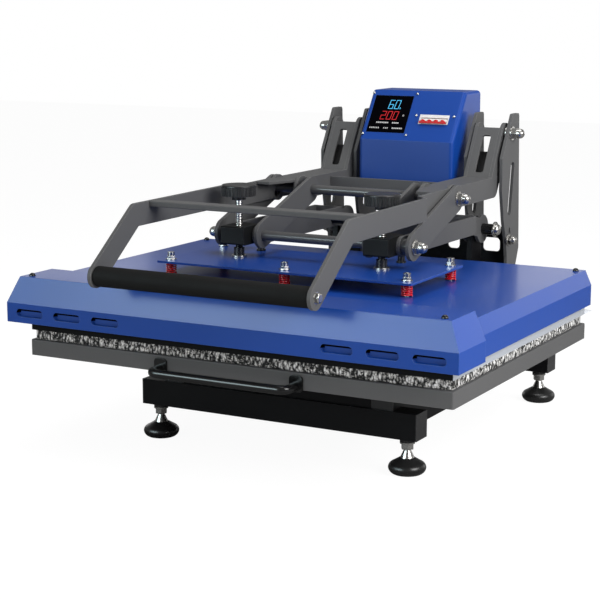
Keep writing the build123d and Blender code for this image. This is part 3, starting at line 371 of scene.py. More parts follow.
steelPlan = {"drift": (0.3, 25.0), "stretch": (4.0, 300.0, 300.0), "depth": 0.08, "rough": (0.20, 0.32),
             "lowerShaft": 0.232, "skin": 0.0001, "collar": 0.012, "flange": 0.004}
paintedDark = (0.012, 0.012, 0.012)
platedBright = (0.50, 0.49, 0.47)
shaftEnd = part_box("arm_shaft")[1].x - steelPlan["skin"]  # just inside the shaft's end faces
lowerShaftEnd = steelPlan["lowerShaft"] - steelPlan["skin"]
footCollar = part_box("foot_studs_and_nuts")[1].z - steelPlan["collar"]
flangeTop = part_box("rod_flanges")[0].z + steelPlan["flange"]
darkThenBright, brightThenDark = (0.0, 1.0), (1.0, 0.0)
twoToneLooks = {
    "shaftSteel": {"axis": "X", "bound": shaftEnd, "below": (0.085, 0.085, 0.087), "above": platedBright,
                   "metal": darkThenBright},
    "pivotSteel": {"axis": "X", "bound": lowerShaftEnd, "below": paintedDark, "above": platedBright,
                   "metal": darkThenBright},
    "footSteel": {"axis": "Z", "bound": footCollar, "below": platedBright, "above": paintedDark,
                  "metal": brightThenDark},
    "flangeSteel": {"axis": "Z", "bound": flangeTop, "below": platedBright, "above": paintedDark,
                    "metal": brightThenDark},
}


def twoToneMaterial(name, look):
    # one finish near the middle or low down and another one past a bound, bright metal or dark paint
    material, tree, shader, coordinates = startMaterial(name)
    place = addMath(tree, "ABSOLUTE", addSplit(tree, coordinates)[look["axis"]])
    past = addMath(tree, "GREATER_THAN", place, look["bound"])
    lines = placeGroup(tree, "brushed", coordinates, Stretch=steelPlan["stretch"], Depth=steelPlan["depth"])
    drift = placeDrift(tree, coordinates, look["below"], *steelPlan["drift"])
    near, far = look["metal"]
    feed(tree, shader, Base_Color=addMix(tree, past, drift["Color"], (*look["above"], 1.0)),
         Roughness=spread(tree, lines["Value"], *steelPlan["rough"]), Normal=lines["Normal"],
         Metallic=addMath(tree, "MULTIPLY_ADD", past, far - near, near))
    return material


def heatPlateMaterial():
    # bare machined sides, and painted shade in near black on the front, the rear and the face below
    look = {"bare": (0.52, 0.55, 0.60), "coat": (0.004, 0.004, 0.005), "side": 0.4972, "metal": 0.4,
            "specular": 0.1, "drift": (0.06, 6.0), "stretch": (3.0, 3.0, 500.0), "depth": 0.1,
            "rough": (0.42, 0.56)}
    material, tree, shader, coordinates = startMaterial("heatPlateWithPaintedShade")
    outward = addMath(tree, "ABSOLUTE", addSplit(tree, coordinates)["X"])
    side = addMath(tree, "GREATER_THAN", outward, look["side"])
    lines = placeGroup(tree, "brushed", coordinates, Stretch=look["stretch"], Depth=look["depth"])
    drift = placeDrift(tree, coordinates, look["bare"], *look["drift"])
    # the near black coat colour is painted shade on every face but the two sides
    feed(tree, shader, Base_Color=addMix(tree, side, (*look["coat"], 1.0), drift["Color"]),
         Roughness=spread(tree, lines["Value"], *look["rough"]), Normal=lines["Normal"],
         Metallic=addMath(tree, "MULTIPLY", side, look["metal"]), Specular_IOR_Level=look["specular"])
    return material


# The vents of the front cover, whose finish and whose cups further down share these places
ventShape = {"length": 0.070, "height": 0.017, "depth": 0.007, "wall": 0.0008, "grow": 0.0006,
             "centres": (0.272, 0.370, 0.468), "rise": 0.023, "cover": 0.0015, "clear": 0.0001,
             "sides": 28, "taper": (0.96, 1, 0.82), "smooth": 40}
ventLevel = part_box("heat_plate")[1].z + ventShape["rise"]


def ventMaterial():
    # the cover's blue, with painted shade in black along the top of each vent and at its left end
    look = {"color": coatLooks["blueCoat"]["color"], "drift": coatLooks["blueCoat"]["drift"], "paintedShadeTone": 0.002,
            "slit": 0.0030, "end": -0.0290, "reach": -0.001, "rough": (0.45, 0.55), "specular": 0.25}
    material, tree, shader, coordinates = startMaterial("ventBlueWithPaintedShade")
    split = addSplit(tree, coordinates)
    first, second = ventShape["centres"][:2]
    step = second - first
    height = addMath(tree, "SUBTRACT", split["Z"], ventLevel)
    outward = addMath(tree, "SUBTRACT", addMath(tree, "ABSOLUTE", split["X"]), first - step / 2)
    along = addMath(tree, "SUBTRACT", addMath(tree, "MODULO", outward, step), step / 2)
    along = addMath(tree, "MULTIPLY", along, addMath(tree, "SIGN", split["X"]))
    # painted shade: black along the top stands for a slit open to the dark, black at the left end for the
    # shade on the cup's left wall, and the specular fades out there
    paintedSlitShade = addMath(tree, "GREATER_THAN", height, look["slit"])
    end = addMath(tree, "MULTIPLY", addMath(tree, "LESS_THAN", along, look["end"]),
                  addMath(tree, "GREATER_THAN", height, look["reach"]))
    paintedShadeMask = addMath(tree, "MAXIMUM", paintedSlitShade, end)
    drift = placeDrift(tree, coordinates, look["color"], *look["drift"])
    feed(tree, shader, Base_Color=addMix(tree, paintedShadeMask, drift["Color"], grey(look["paintedShadeTone"])),
         Roughness=spread(tree, drift["Value"], *look["rough"]),
         Specular_IOR_Level=addMath(tree, "MULTIPLY_ADD", paintedShadeMask, -look["specular"], look["specular"]))
    return material


def leverMaterial():
    # white drums that fill the breaker's opening, with red levers and a red tie bar on them
    look = {"axis": (0.421915, 0.675930), "drum": 0.0078, "red": (0.60, 0.003, 0.006),
            "white": coatLooks["whitePlastic"]["color"], "drift": (0.15, 40.0), "edge": 0.0006,
            "grainScale": 900.0, "grain": 0.05, "rough": (0.34, 0.42), "specular": 0.15}
    material, tree, shader, coordinates = startMaterial("leverPlastic")
    split = addSplit(tree, coordinates)
    across = addMath(tree, "SUBTRACT", split["Y"], look["axis"][0])
    upward = addMath(tree, "SUBTRACT", split["Z"], look["axis"][1])
    squared = addMath(tree, "MULTIPLY_ADD", across, across, addMath(tree, "MULTIPLY", upward, upward))
    outside = addMath(tree, "GREATER_THAN", squared, look["drum"] ** 2)
    drift = placeDrift(tree, coordinates, look["red"], *look["drift"])
    relief = placeGroup(tree, "relief", coordinates, Edge_Radius=look["edge"], Grain_Scale=look["grainScale"],
                        Grain_Depth=look["grain"])
    feed(tree, shader, Base_Color=addMix(tree, outside, (*look["white"], 1.0), drift["Color"]),
         Roughness=spread(tree, drift["Value"], *look["rough"]), Normal=relief["Normal"],
         Specular_IOR_Level=look["specular"])
    return material


def threadMaterial():
    # a plated screw whose thread shows as fine rings, black below the arm's block
    look = {"bands": 87.535, "strength": 0.5, "depth": 0.0006, "oxide": (0.02, 0.02, 0.021),
            "drift": (0.3, 60.0), "rough": (0.18, 0.3)}
    material, tree, shader, coordinates = startMaterial("threadedSteel")
    wave = addNode(tree, "ShaderNodeTexWave", wave_type="BANDS", bands_direction="Z")
    feed(tree, wave, Vector=coordinates, Scale=look["bands"], Distortion=0.0)
    bump = addBump(tree, wave.outputs["Fac"], look["strength"], look["depth"])
    drift = placeDrift(tree, coordinates, platedBright, *look["drift"])
    low = addMath(tree, "LESS_THAN", addSplit(tree, coordinates)["Z"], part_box("arm_blocks")[0].z)
    feed(tree, shader, Base_Color=addMix(tree, low, drift["Color"], (*look["oxide"], 1.0)),
         Roughness=spread(tree, drift["Value"], *look["rough"]), Normal=bump.outputs["Normal"], Metallic=1.0)
    return material


def padMaterial():
    look = {"scale": 215.0, "fibres": 900.0, "share": 0.3, "strength": 0.9, "depth": 0.0015,
            "rough": (0.75, 0.9), "specular": 0.2}
    material, tree, shader, coordinates = startMaterial("padCrumb")
    flecks = placeGroup(tree, "flecks", coordinates, Scale=look["scale"])
    fibre = addNoise(tree, coordinates, look["fibres"], 4.0, 0.7).outputs["Fac"]
    height = addMath(tree, "MULTIPLY_ADD", fibre, look["share"], flecks["Height"])
    bump = addBump(tree, height, look["strength"], look["depth"])
    feed(tree, shader, Base_Color=flecks["Color"], Roughness=spread(tree, fibre, *look["rough"]),
         Normal=bump.outputs["Normal"], Specular_IOR_Level=look["specular"])
    return material


def sheetMaterial():
    look = {"threads": 260.0, "color": (0.86, 0.88, 0.92), "shade": (0.72, 0.75, 0.80), "drift": (0.08, 8.0),
            "strength": 0.25, "depth": 0.0002, "rough": (0.35, 0.5)}
    material, tree, shader, coordinates = startMaterial("coatedSheet")
    weave = placeGroup(tree, "weave", coordinates, Threads=look["threads"])
    drift = placeDrift(tree, coordinates, look["color"], *look["drift"])
    bump = addBump(tree, weave["Height"], look["strength"], look["depth"])
    feed(tree, shader, Base_Color=addMix(tree, weave["Mask"], (*look["shade"], 1.0), drift["Color"]),
         Roughness=spread(tree, drift["Value"], *look["rough"]), Normal=bump.outputs["Normal"])
    return material


def blanketMaterial():
    look = {"color": (0.72, 0.70, 0.63), "drift": (0.2, 20.0), "fibres": 350.0, "strength": 0.8,
            "depth": 0.002, "rough": (0.85, 0.95)}
    material, tree, shader, coordinates = startMaterial("fibreBlanket")
    drift = placeDrift(tree, coordinates, look["color"], *look["drift"])
    fibres = addNoise(tree, coordinates, look["fibres"], 6.0, 0.75, 1.5).outputs["Fac"]
    bump = addBump(tree, fibres, look["strength"], look["depth"])
    feed(tree, shader, Base_Color=drift["Color"], Roughness=spread(tree, fibres, *look["rough"]),
         Normal=bump.outputs["Normal"])
    return material


def gripMaterial():
    look = {"color": (0.0072, 0.0070, 0.0068), "drift": (0.3, 12.0), "cells": 900.0, "strength": 0.35,
            "depth": 0.0006, "rough": (0.62, 0.78), "specular": 0.14}
    material, tree, shader, coordinates = startMaterial("gripFoam")
    drift = placeDrift(tree, coordinates, look["color"], *look["drift"])
    cells = feed(tree, addNode(tree, "ShaderNodeTexVoronoi"), Vector=coordinates, Scale=look["cells"])
    bump = addBump(tree, cells.outputs["Distance"], look["strength"], look["depth"])
    feed(tree, shader, Base_Color=drift["Color"], Roughness=spread(tree, drift["Value"], *look["rough"]),
         Normal=bump.outputs["Normal"], Specular_IOR_Level=look["specular"])
    return material


glowBase = {"drift": (0.25, 120.0), "rough": (0.3, 0.4)}
glowLooks = {
    "timeGlow": {"color": (0.06, 0.38, 0.62), "strength": 0.75},
    "heatGlow": {"color": (0.42, 0.010, 0.014), "strength": 0.65},
    "markGlow": {"color": (0.42, 0.42, 0.42), "strength": 0.3},
}


def glowMaterial(name, look):
    # a lit segment behind the glass, a little uneven along its length
    material, tree, shader, coordinates = startMaterial(name)
    drift = placeDrift(tree, coordinates, look["color"], *glowBase["drift"])
    feed(tree, shader, Base_Color=drift["Color"], Emission_Color=drift["Color"],
         Roughness=spread(tree, drift["Value"], *glowBase["rough"]), Emission_Strength=look["strength"])
    return material


materials = {name: coatMaterial(name, {**coatBase, **look}) for name, look in coatLooks.items()}
materials.update({name: metalMaterial(name, look) for name, look in metalLooks.items()})
materials.update({name: twoToneMaterial(name, look) for name, look in twoToneLooks.items()})
materials.update({name: glowMaterial(name, look) for name, look in glowLooks.items()})
for makeMaterial in (heatPlateMaterial, ventMaterial, leverMaterial, threadMaterial, padMaterial,
                     sheetMaterial, blanketMaterial, gripMaterial):
    made = makeMaterial()
    materials[made.name] = made
print("stage:", len(materials), "materials built")

slotFinish = {
    "blue_paint": "blueCoat", "grey_paint": "greyCoat", "black_paint": "blackCoat",
    "black_plastic": "blackPlastic", "black_rubber": "footRubber", "bright_steel": "brightSteel",
    "plain_steel": "plainSteel", "red_steel": "redCoat", "red_plastic": "leverPlastic",
    "white_plastic": "whitePlastic", "pad_foam": "padCrumb", "sheet_white": "coatedSheet",
    "coated_aluminium": "heatPlateWithPaintedShade", "blanket": "fibreBlanket", "display_black": "displayBlack",
    "board_green": "boardGreen",
}
nodeFinish = {
    "arm_blocks": "blockCoat", "arm_cross_tube": "blockCoat", "arm_shaft": "shaftSteel",
    "arm_shaft_fittings": "shaftSteel", "link_shaft": "shaftSteel", "pivot_pins": "pivotSteel",
    "pull_handle": "glossBlack", "cover_screws": "glossBlack", "foot_studs_and_nuts": "footSteel",
    "rod_flanges": "flangeSteel", "pressure_rod_left": "threadedSteel",
    "pressure_rod_right": "threadedSteel",
}


def dressNodes():
    slotOf = {entry["node"]: entry["material_slot"] for entry in frame["record"]["subparts"]}
    for name, node in nodes.items():
        finish = nodeFinish.get(name) or slotFinish[slotOf[name]]
        node.data.materials.clear()
        node.data.materials.append(materials[finish])
        node["finish"] = finish
    return slotOf


slotOf = dressNodes()
print("stage: carried nodes dressed;", len(slotOf), "nodes have a slot")


# Mesh helpers

allSmooth = 180


def finishPiece(name, mesh, finish, smooth=None):
    # smooth is the angle in degrees from which an edge stays sharp, and without it all faces are flat
    bmesh.ops.recalc_face_normals(mesh, faces=mesh.faces)
    data = bpy.data.meshes.new(name)
    mesh.to_mesh(data)
    mesh.free()
    piece = bpy.data.objects.new(name, data)
    scene.collection.objects.link(piece)
    data.materials.append(materials[finish])
    if smooth is not None:
        data.shade_smooth()
        if smooth < allSmooth:
            data.set_sharp_from_angle(angle=math.radians(smooth))
    return piece


def addBlock(mesh, low, high):
    made = bmesh.ops.create_cube(mesh, size=1.0)["verts"]
    bmesh.ops.scale(mesh, vec=Vector(high) - Vector(low), verts=made)
    bmesh.ops.translate(mesh, vec=(Vector(low) + Vector(high)) / 2, verts=made)
    return made


def cutAlong(mesh, axis, cuts):
    # divides every edge that runs along one axis
    edges = []
    for edge in mesh.edges:
        way = edge.verts[1].co - edge.verts[0].co
        if abs(way[axis]) > 0.9 * way.length:
            edges.append(edge)
    bmesh.ops.subdivide_edges(mesh, edges=edges, cuts=cuts, use_grid_fill=True)


def ripple(place, scale=1.0):
    # smooth noise between 0 and 1 at a place
    return 0.5 + 0.5 * noise.noise(place * scale)


def bodyOf(node):
    return nodes[node]["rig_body"]


# Crumb foam pad on the lower platen

padShape = {"cuts": (110, 82, 5), "corner": 0.010, "edge": 0.0025, "edgeShare": 0.6, "sink": 0.0014,
            "ripple": 0.0003, "sideScale": 260, "topScale": 30, "near": 0.0005, "smooth": 60}


def makePad():
    low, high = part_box("silicone_pad")
    mesh = bmesh.new()
    addBlock(mesh, low, high)
    for axis, cuts in enumerate(padShape["cuts"]):
        cutAlong(mesh, axis, cuts)
    middle = (low + high) / 2
    half = (high - low) / 2
    corner, edge, near = padShape["corner"], padShape["edge"], padShape["near"]
    for vert in mesh.verts:
        place = vert.co - middle
        over = Vector((max(0, abs(place.x) - half.x + corner), max(0, abs(place.y) - half.y + corner)))
        if over.x > 0 and over.y > 0:
            scale = max(over.x, over.y) / over.length
            place.x -= math.copysign(over.x * (1 - scale), place.x)
            place.y -= math.copysign(over.y * (1 - scale), place.y)
        side = min(half.x - abs(place.x), half.y - abs(place.y))
        level = half.z - abs(place.z)
        if side < near:
            pull = padShape["sink"] * ripple(place, padShape["sideScale"])
            pull += edge * max(0, 1 - level / edge) ** 2 * padShape["edgeShare"]
            place.x -= math.copysign(pull, place.x) if half.x - abs(place.x) < near else 0
            place.y -= math.copysign(pull, place.y) if half.y - abs(place.y) < near else 0
        elif place.z > 0:
            place.z -= padShape["ripple"] * ripple(place, padShape["topScale"])
        vert.co = middle + place
    piece = finishPiece("crumbPad", mesh, "padCrumb", padShape["smooth"])
    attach(piece, bodyOf("silicone_pad"))
    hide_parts("silicone_pad")
    return piece


crumbPad = makePad()
print("stage: pad made,", len(crumbPad.data.polygons), "faces")


# Coated sheet between the pad and the hot plate

sheetShape = {"step": 0.012, "thick": 0.0004, "lift": 0.00045, "sideDroop": 0.0003, "rearDroop": 0.0012,
              "waves": 5, "sideSway": 0.7, "rearSway": 0.3}


def makeSheet():
    low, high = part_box("release_sheet")
    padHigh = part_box("silicone_pad")[1]
    size = high - low
    middle = (low + high) / 2
    mesh = bmesh.new()
    bmesh.ops.create_grid(mesh, x_segments=int(size.x / sheetShape["step"]),
                          y_segments=int(size.y / sheetShape["step"]), size=0.5)
    bmesh.ops.scale(mesh, vec=(size.x, size.y, 1), verts=mesh.verts)
    bmesh.ops.translate(mesh, vec=(middle.x, middle.y, low.z + sheetShape["lift"]), verts=mesh.verts)
    waves = sheetShape["waves"]
    for vert in mesh.verts:
        side = max(0, abs(vert.co.x) - padHigh.x) / (high.x - padHigh.x)
        back = max(0, vert.co.y - padHigh.y) / (high.y - padHigh.y)
        wave = noise.noise(Vector((vert.co.x * waves, vert.co.y * waves, 0.3)))
        drop = sheetShape["sideDroop"] * side ** 2 * (1 + sheetShape["sideSway"] * wave)
        drop += sheetShape["rearDroop"] * back ** 2 * (1 + sheetShape["rearSway"] * wave)
        vert.co.z -= drop
    piece = finishPiece("releaseSheet", mesh, "coatedSheet", allSmooth)
    solid = piece.modifiers.new("thickness", "SOLIDIFY")
    solid.thickness = sheetShape["thick"]
    solid.offset = 0
    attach(piece, bodyOf("release_sheet"))
    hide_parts("release_sheet")
    return piece


releaseSheet = makeSheet()
print("stage: sheet made,", len(releaseSheet.data.polygons), "faces")


# Foam grip on the handle frame's front bar

gripShape = {"bore": 0.0121, "round": 0.004, "crown": 0.0004, "waves": 30, "roundSteps": 6, "rings": 40,
             "steps": 64, "smooth": 50}


def makeGrip():
    low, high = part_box("foam_grip")
    radius = (high.z - low.z) / 2
    centre = (low + high) / 2
    half = (high.x - low.x) / 2
    curve, turns = gripShape["round"], gripShape["roundSteps"]
    end = [(-half, gripShape["bore"]), (-half, radius - curve)]
    for i in range(1, turns + 1):
        angle = math.pi / 2 * i / turns
        end.append((-half + curve * (1 - math.cos(angle)), radius - curve * (1 - math.sin(angle))))
    points = list(end)
    for i in range(1, gripShape["rings"]):
        x = -half + curve + i / gripShape["rings"] * 2 * (half - curve)
        points.append((x, radius - gripShape["crown"] * ripple(Vector((x * gripShape["waves"], 0.2, 0.7)))))
    points += [(-x, r) for x, r in reversed(end)]
    mesh = bmesh.new()
    verts = [mesh.verts.new((centre.x + x, centre.y, centre.z + r)) for x, r in points]
    edges = [mesh.edges.new((a, b)) for a, b in zip(verts, verts[1:] + verts[:1])]
    bmesh.ops.spin(mesh, geom=verts + edges, cent=centre, axis=(1, 0, 0), angle=2 * math.pi,
                   steps=gripShape["steps"], use_merge=True)
    bmesh.ops.remove_doubles(mesh, verts=mesh.verts, dist=1e-6)
    piece = finishPiece("foamGrip", mesh, "gripFoam", gripShape["smooth"])
    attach(piece, bodyOf("foam_grip"))
    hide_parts("foam_grip")
    return piece


foamGrip = makeGrip()
print("stage: grip made,", len(foamGrip.data.polygons), "faces")


# Coil springs under the pressure plate

springShape = {"wire": 0.0015, "radius": 0.011, "closed": 1.0, "active": 4.0, "lay": 1.02, "steps": 26,
               "sides": 10, "gap": 0.0002, "inset": 0.012}


def makeSprings():
    low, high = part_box("plate_springs")
    height = high.z - low.z - 2 * springShape["gap"]
    wire, radius = springShape["wire"], springShape["radius"]
    closedRise = 2 * wire * springShape["lay"] * springShape["closed"]
    activeRise = height - 2 * wire - 2 * closedRise
    mesh = bmesh.new()
    start = Matrix.Translation((radius, 0, wire)) @ Matrix.Rotation(math.pi / 2, 4, "X")
    made = bmesh.ops.create_circle(mesh, segments=springShape["sides"], radius=wire, matrix=start)
    firstRing = list(made["verts"])
    current = firstRing + list(mesh.edges)
    for turns, rise in ((springShape["closed"], closedRise), (springShape["active"], activeRise),
                        (springShape["closed"], closedRise)):
        steps = int(springShape["steps"] * turns)
        made = bmesh.ops.spin(mesh, geom=current, cent=(0, 0, 0), axis=(0, 0, 1), angle=2 * math.pi * turns,
                              dvec=(0, 0, rise / steps), steps=steps)
        current = made["geom_last"]
    lastEdges = [item for item in current if isinstance(item, bmesh.types.BMEdge)]
    firstEdges = [edge for edge in mesh.edges if edge.verts[0] in firstRing and edge.verts[1] in firstRing]
    bmesh.ops.edgeloop_fill(mesh, edges=lastEdges)
    bmesh.ops.edgeloop_fill(mesh, edges=firstEdges)
    first = list(mesh.verts) + list(mesh.edges) + list(mesh.faces)
    screwLow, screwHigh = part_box("spring_screws")
    inset = springShape["inset"]
    columns = (screwLow.x + inset, 0.0, screwHigh.x - inset)
    rows = (screwLow.y + inset, screwHigh.y - inset)
    spots = [Vector((x, y, low.z + springShape["gap"])) for x in columns for y in rows]
    for spot in spots[1:]:
        copy = bmesh.ops.duplicate(mesh, geom=first)["geom"]
        verts = [item for item in copy if isinstance(item, bmesh.types.BMVert)]
        bmesh.ops.translate(mesh, vec=spot - spots[0], verts=verts)
    bmesh.ops.translate(mesh, vec=spots[0], verts=mesh.verts)
    piece = finishPiece("plateSprings", mesh, "redCoat", allSmooth)
    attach(piece, bodyOf("plate_springs"))
    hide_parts("plate_springs")
    return piece


plateSprings = makeSprings()
print("stage: springs made,", len(plateSprings.data.polygons), "faces")


# Fibre blanket over the hot plate, inside the covers

blanketShape = {"step": 0.014, "sink": 0.0022, "lumps": 45, "smooth": 40}


def makeBlanket():
    low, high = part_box("insulation_blanket")
    mesh = bmesh.new()
    mesh.from_mesh(nodes["insulation_blanket"].data)
    bmesh.ops.remove_doubles(mesh, verts=mesh.verts, dist=1e-5)
    bmesh.ops.dissolve_limit(mesh, angle_limit=0.01, verts=mesh.verts, edges=mesh.edges)
    for axis, normal in enumerate((Vector((1, 0, 0)), Vector((0, 1, 0)))):
        cuts = int((high[axis] - low[axis]) / blanketShape["step"])
        for i in range(1, cuts):
            place = low + normal * (high[axis] - low[axis]) * i / cuts
            bmesh.ops.bisect_plane(mesh, geom=list(mesh.verts) + list(mesh.edges) + list(mesh.faces),
                                   plane_co=place, plane_no=normal, dist=1e-6)
    mesh.normal_update()
    moves = [vert.normal * blanketShape["sink"] * ripple(vert.co, blanketShape["lumps"])
             for vert in mesh.verts]
    for vert, move in zip(mesh.verts, moves):
        vert.co -= move
    bmesh.ops.triangulate(mesh, faces=[face for face in mesh.faces if len(face.verts) > 4])
    piece = finishPiece("fibreBlanket", mesh, "fibreBlanket", blanketShape["smooth"])
    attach(piece, bodyOf("insulation_blanket"))
    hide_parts("insulation_blanket")
    return piece


fibreBlanket = makeBlanket()
print("stage: blanket made,", len(fibreBlanket.data.polygons), "faces")


# Display figures and marks, drawn flat on the sloped panel

panelPlace = {"origin": (0.0, 0.38475, 0.631), "run": 78.0, "rise": 117.0}
panelNormal = Vector((0, -panelPlace["rise"], panelPlace["run"])).normalized()
panelUp = Vector((0, panelPlace["run"], panelPlace["rise"])).normalized()
panelMatrix = Matrix((
    (1, panelUp.x, panelNormal.x, panelPlace["origin"][0]),
    (0, panelUp.y, panelNormal.y, panelPlace["origin"][1]),
    (0, panelUp.z, panelNormal.z, panelPlace["origin"][2]),
    (0, 0, 0, 1)))

figureShape = {"lift": 0.00062, "thick": 0.0003, "lean": 0.13, "stroke": 0.125, "gap": 0.12}
segmentsOf = {"0": "abcdef", "2": "abged", "6": "acdefg"}


def addSegments(mesh, digit, x, v, width, height):
    stroke = width * figureShape["stroke"]
    gap = stroke * figureShape["gap"]
    middle = height / 2
    spans = {
        "a": (gap, height - stroke, width - gap, height),
        "b": (width - stroke, middle + gap, width, height - gap),
        "c": (width - stroke, gap, width, middle - gap),
        "d": (gap, 0, width - gap, stroke),
        "e": (0, gap, stroke, middle - gap),
        "f": (0, middle + gap, stroke, height - gap),
        "g": (gap, (height - stroke) / 2, width - gap, (height + stroke) / 2),
    }
    for key in segmentsOf[digit]:
        x0, v0, x1, v1 = spans[key]
        made = addBlock(mesh, (x0, v0, 0), (x1, v1, figureShape["thick"]))
        for vert in made:
            vert.co.x += figureShape["lean"] * vert.co.y
        bmesh.ops.translate(mesh, vec=(x, v, 0), verts=made)


def finishFigures(name, mesh, finish):
    bmesh.ops.translate(mesh, vec=(0, 0, figureShape["lift"]), verts=mesh.verts)
    bmesh.ops.transform(mesh, matrix=panelMatrix, verts=mesh.verts)
    piece = finishPiece(name, mesh, finish)
    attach(piece, bodyOf("display_module"))


displayPlan = {"left": -0.1115, "top": 0.1245, "width": 0.103, "height": 0.104, "digitWide": 0.0125}
timePlan = {"row": 0.365, "high": 0.0250, "digits": (("6", 0.40), ("0", 0.56)), "unit": 0.715,
            "unitSize": (0.0018, 0.0050)}
heatPlan = {"row": 0.655, "high": 0.0235, "digits": (("2", 0.26), ("0", 0.42), ("0", 0.58))}
# each row of marks is its height on the glass, its start, its end and how many marks it has
markPlan = {"rows": ((0.755, 0.20, 0.53, 7), (0.755, 0.62, 0.80, 4), (0.90, 0.06, 0.33, 6),
                     (0.90, 0.43, 0.56, 3), (0.90, 0.65, 0.93, 6)), "high": 0.0036,
            "widthShare": (0.55, 0.25), "widthTurn": (3.1, 7), "flash": (0.86, 0.56),
            "flashWidths": (0.0022, 0.0052, 0.0022), "flashStep": 0.0022, "flashHigh": 0.0013}


def onDisplay(u, w):
    # a place on the glass as shares from its left and from its top
    return displayPlan["left"] + u * displayPlan["width"], displayPlan["top"] - w * displayPlan["height"]


def addMark(mesh, x, v, wide, high):
    addBlock(mesh, (x, v, 0), (x + wide, v + high, figureShape["thick"]))


def addDigits(mesh, plan):
    for digit, u in plan["digits"]:
        x, v = onDisplay(u, plan["row"])
        addSegments(mesh, digit, x, v, displayPlan["digitWide"], plan["high"])


def makeFigures():
    timeMesh, heatMesh, markMesh = bmesh.new(), bmesh.new(), bmesh.new()
    addDigits(timeMesh, timePlan)
    addMark(timeMesh, *onDisplay(timePlan["unit"], timePlan["row"]), *timePlan["unitSize"])
    addDigits(heatMesh, heatPlan)
    least, more = markPlan["widthShare"]
    stepTurn, startTurn = markPlan["widthTurn"]
    for w, start, end, count in markPlan["rows"]:
        step = (end - start) / count
        for i in range(count):
            share = least + more * abs(math.sin(stepTurn * i + startTurn * start))
            wide = step * displayPlan["width"] * share
            addMark(markMesh, *onDisplay(start + i * step, w), wide, markPlan["high"])
    x, v = onDisplay(*markPlan["flash"])
    for i, wide in enumerate(markPlan["flashWidths"]):
        addMark(markMesh, x - wide / 2, v + markPlan["flashStep"] * i, wide, markPlan["flashHigh"])
    finishFigures("timeFigures", timeMesh, "timeGlow")
    finishFigures("heatFigures", heatMesh, "heatGlow")
    finishFigures("displayMarks", markMesh, "markGlow")


makeFigures()
print("stage: display figures made")


# Blue cups pressed in behind the vents of the front cover

def makeVentCups():
    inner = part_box("front_cover")[0].y + ventShape["cover"] + ventShape["clear"]
    radius = ventShape["height"] / 2 + ventShape["grow"]
    stretch = (ventShape["length"] - ventShape["height"]) / 2
    sides = ventShape["sides"]
    mesh = bmesh.new()
    for side in (-1, 1):
        for centre in ventShape["centres"]:
            made = bmesh.ops.create_circle(mesh, segments=sides, radius=radius, cap_ends=True,
                                           matrix=Matrix.Rotation(math.pi / sides, 4, "Z"))["verts"]
            for vert in made:
                vert.co.x += math.copysign(stretch, vert.co.x)
            face = made[0].link_faces[0]
            bmesh.ops.rotate(mesh, verts=made, cent=(0, 0, 0), matrix=Matrix.Rotation(math.pi / 2, 3, "X"))
            bmesh.ops.translate(mesh, verts=made, vec=(side * centre, inner, ventLevel))
            grown = bmesh.ops.extrude_face_region(mesh, geom=[face])["geom"]
            backVerts = [item for item in grown if isinstance(item, bmesh.types.BMVert)]
            bmesh.ops.translate(mesh, verts=backVerts, vec=(0, ventShape["depth"], 0))
            middle = sum((vert.co for vert in backVerts), Vector()) / len(backVerts)
            bmesh.ops.scale(mesh, verts=backVerts, vec=ventShape["taper"],
                            space=Matrix.Translation(-middle))
            bmesh.ops.delete(mesh, geom=[face], context="FACES_ONLY")
    piece = finishPiece("ventCups", mesh, "ventBlueWithPaintedShade", ventShape["smooth"])
    solid = piece.modifiers.new("thickness", "SOLIDIFY")
    solid.thickness = ventShape["wall"]
    solid.offset = 1
    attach(piece, bodyOf("front_cover"))


makeVentCups()
print("stage: vent cups made")


# Floor, backdrop, lights and camera

roomLook = {"floorSize": 9.0, "floorWhite": 0.9, "floorDrift": 0.02, "floorClouds": 1.2, "cameraShare": 0.86,
            "cameraWhite": 1.1, "mirrored": 0.4, "world": 0.23, "worldWhite": 1.0}


def seenStraight(tree, path):
    # what the camera sees itself or through glass
    return addMath(tree, "MAXIMUM", path["Is Camera Ray"], path["Is Transmission Ray"])


def mixShaders(tree, share, first, second, surface):
    mix = addNode(tree, "ShaderNodeMixShader")
    for socket, source in zip(mix.inputs, (share, first, second)):
        link(tree, source, socket)
    link(tree, mix.outputs[0], surface)


def makeFloor():
    material = bpy.data.materials.new("studioFloor")
    material.use_nodes = True
    tree = material.node_tree
    tree.nodes.clear()
    output = addNode(tree, "ShaderNodeOutputMaterial")
    coordinates = addNode(tree, "ShaderNodeTexCoord").outputs["Object"]
    cloud = addNoise(tree, coordinates, roomLook["floorClouds"], 2.0, 0.5).outputs["Fac"]
    white = roomLook["floorWhite"]
    tone = addRamp(tree, cloud, [(0.0, grey(white - roomLook["floorDrift"])), (1.0, grey(white))])
    path = addNode(tree, "ShaderNodeLightPath").outputs
    dim = addMath(tree, "MULTIPLY", path["Is Glossy Ray"], 1 - roomLook["mirrored"])
    diffuse = feed(tree, addNode(tree, "ShaderNodeBsdfDiffuse"), Color=addMix(tree, dim, tone, grey(0.0)))
    glow = feed(tree, addNode(tree, "ShaderNodeEmission"), Strength=roomLook["cameraWhite"])
    share = addMath(tree, "MULTIPLY", seenStraight(tree, path), roomLook["cameraShare"])
    mixShaders(tree, share, diffuse.outputs[0], glow.outputs[0], output.inputs["Surface"])
    mesh = bmesh.new()
    bmesh.ops.create_grid(mesh, x_segments=2, y_segments=2, size=roomLook["floorSize"])
    data = bpy.data.meshes.new("studioFloor")
    mesh.to_mesh(data)
    mesh.free()
    floor = bpy.data.objects.new("studioFloor", data)
    data.materials.append(material)
    scene.collection.objects.link(floor)


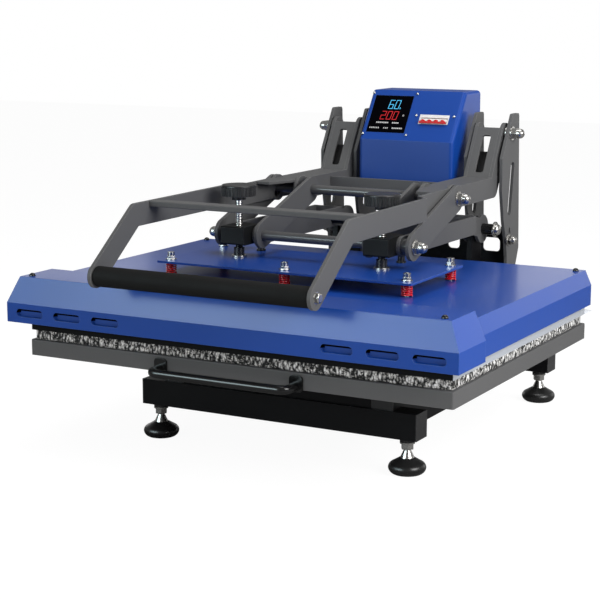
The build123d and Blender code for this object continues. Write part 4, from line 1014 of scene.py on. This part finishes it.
def makeWorld():
    world = bpy.data.worlds.new("studioWorld")
    world.use_nodes = True
    scene.world = world
    tree = world.node_tree
    tree.nodes.clear()
    output = addNode(tree, "ShaderNodeOutputWorld")
    soft, white = (feed(tree, addNode(tree, "ShaderNodeBackground"), Color=grey(1.0), Strength=strength)
                   for strength in (roomLook["world"], roomLook["worldWhite"]))
    path = addNode(tree, "ShaderNodeLightPath").outputs
    mixShaders(tree, seenStraight(tree, path), soft.outputs[0], white.outputs[0], output.inputs["Surface"])
    scene.view_settings.view_transform = "Standard"


lampPlan = {
    "rightSoftbox": {"place": (2.6, -0.75, 1.6), "size": (1.8, 1.4), "power": 72.0},
    "frontFill": {"place": (-1.2, -3.4, 1.3), "size": (2.4, 1.6), "power": 22.0},
    "frontSheen": {"place": (-1.56, -3.2, 1.43), "size": (2.6, 1.2), "power": 68.0, "glossOnly": True,
                   "color": (0.70, 0.94, 1.0)},
    "leftSheen": {"place": (-4.3, 3.7, 1.0), "size": (2.2, 1.6), "power": 12.0, "glossOnly": True},
    "rearSheen": {"place": (-0.9, 5.2, 1.05), "size": (1.4, 1.6), "power": 8.0, "glossOnly": True},
    "sideSheen": {"place": (2.1, 3.7, 1.0), "size": (2.6, 1.8), "power": 16.0, "glossOnly": True},
    "topSoftbox": {"place": (0.2, 0.3, 3.2), "size": (2.0, 2.0), "power": 45.0},
}
lampTarget = Vector((0, 0, 0.35))


def makeLamps():
    for name, plan in lampPlan.items():
        data = bpy.data.lights.new(name, "AREA")
        data.shape = "RECTANGLE"
        data.size, data.size_y = plan["size"]
        data.energy = plan["power"]
        data.color = plan.get("color", (1.0, 1.0, 1.0))
        lamp = bpy.data.objects.new(name, data)
        lamp.location = plan["place"]
        lamp.rotation_euler = (lampTarget - lamp.location).to_track_quat("-Z", "Y").to_euler()
        lamp.visible_camera = False
        lamp.visible_diffuse = not plan.get("glossOnly", False)
        scene.collection.objects.link(lamp)


viewPlan = {"place": (1.6775, -3.19015, 0.9779), "yaw": 0.5034, "pitch": 0.1859, "lens": 97.1, "sensor": 36.0}


def makeCamera():
    data = bpy.data.cameras.new("photoView")
    data.lens = viewPlan["lens"]
    data.sensor_width = viewPlan["sensor"]
    camera = bpy.data.objects.new("photoView", data)
    camera.location = viewPlan["place"]
    camera.rotation_euler = (math.pi / 2 - viewPlan["pitch"], 0, viewPlan["yaw"])
    scene.collection.objects.link(camera)
    scene.camera = camera


makeFloor()
makeWorld()
makeLamps()
makeCamera()
print("stage: floor, lights and camera set")

bpy.context.view_layer.update()
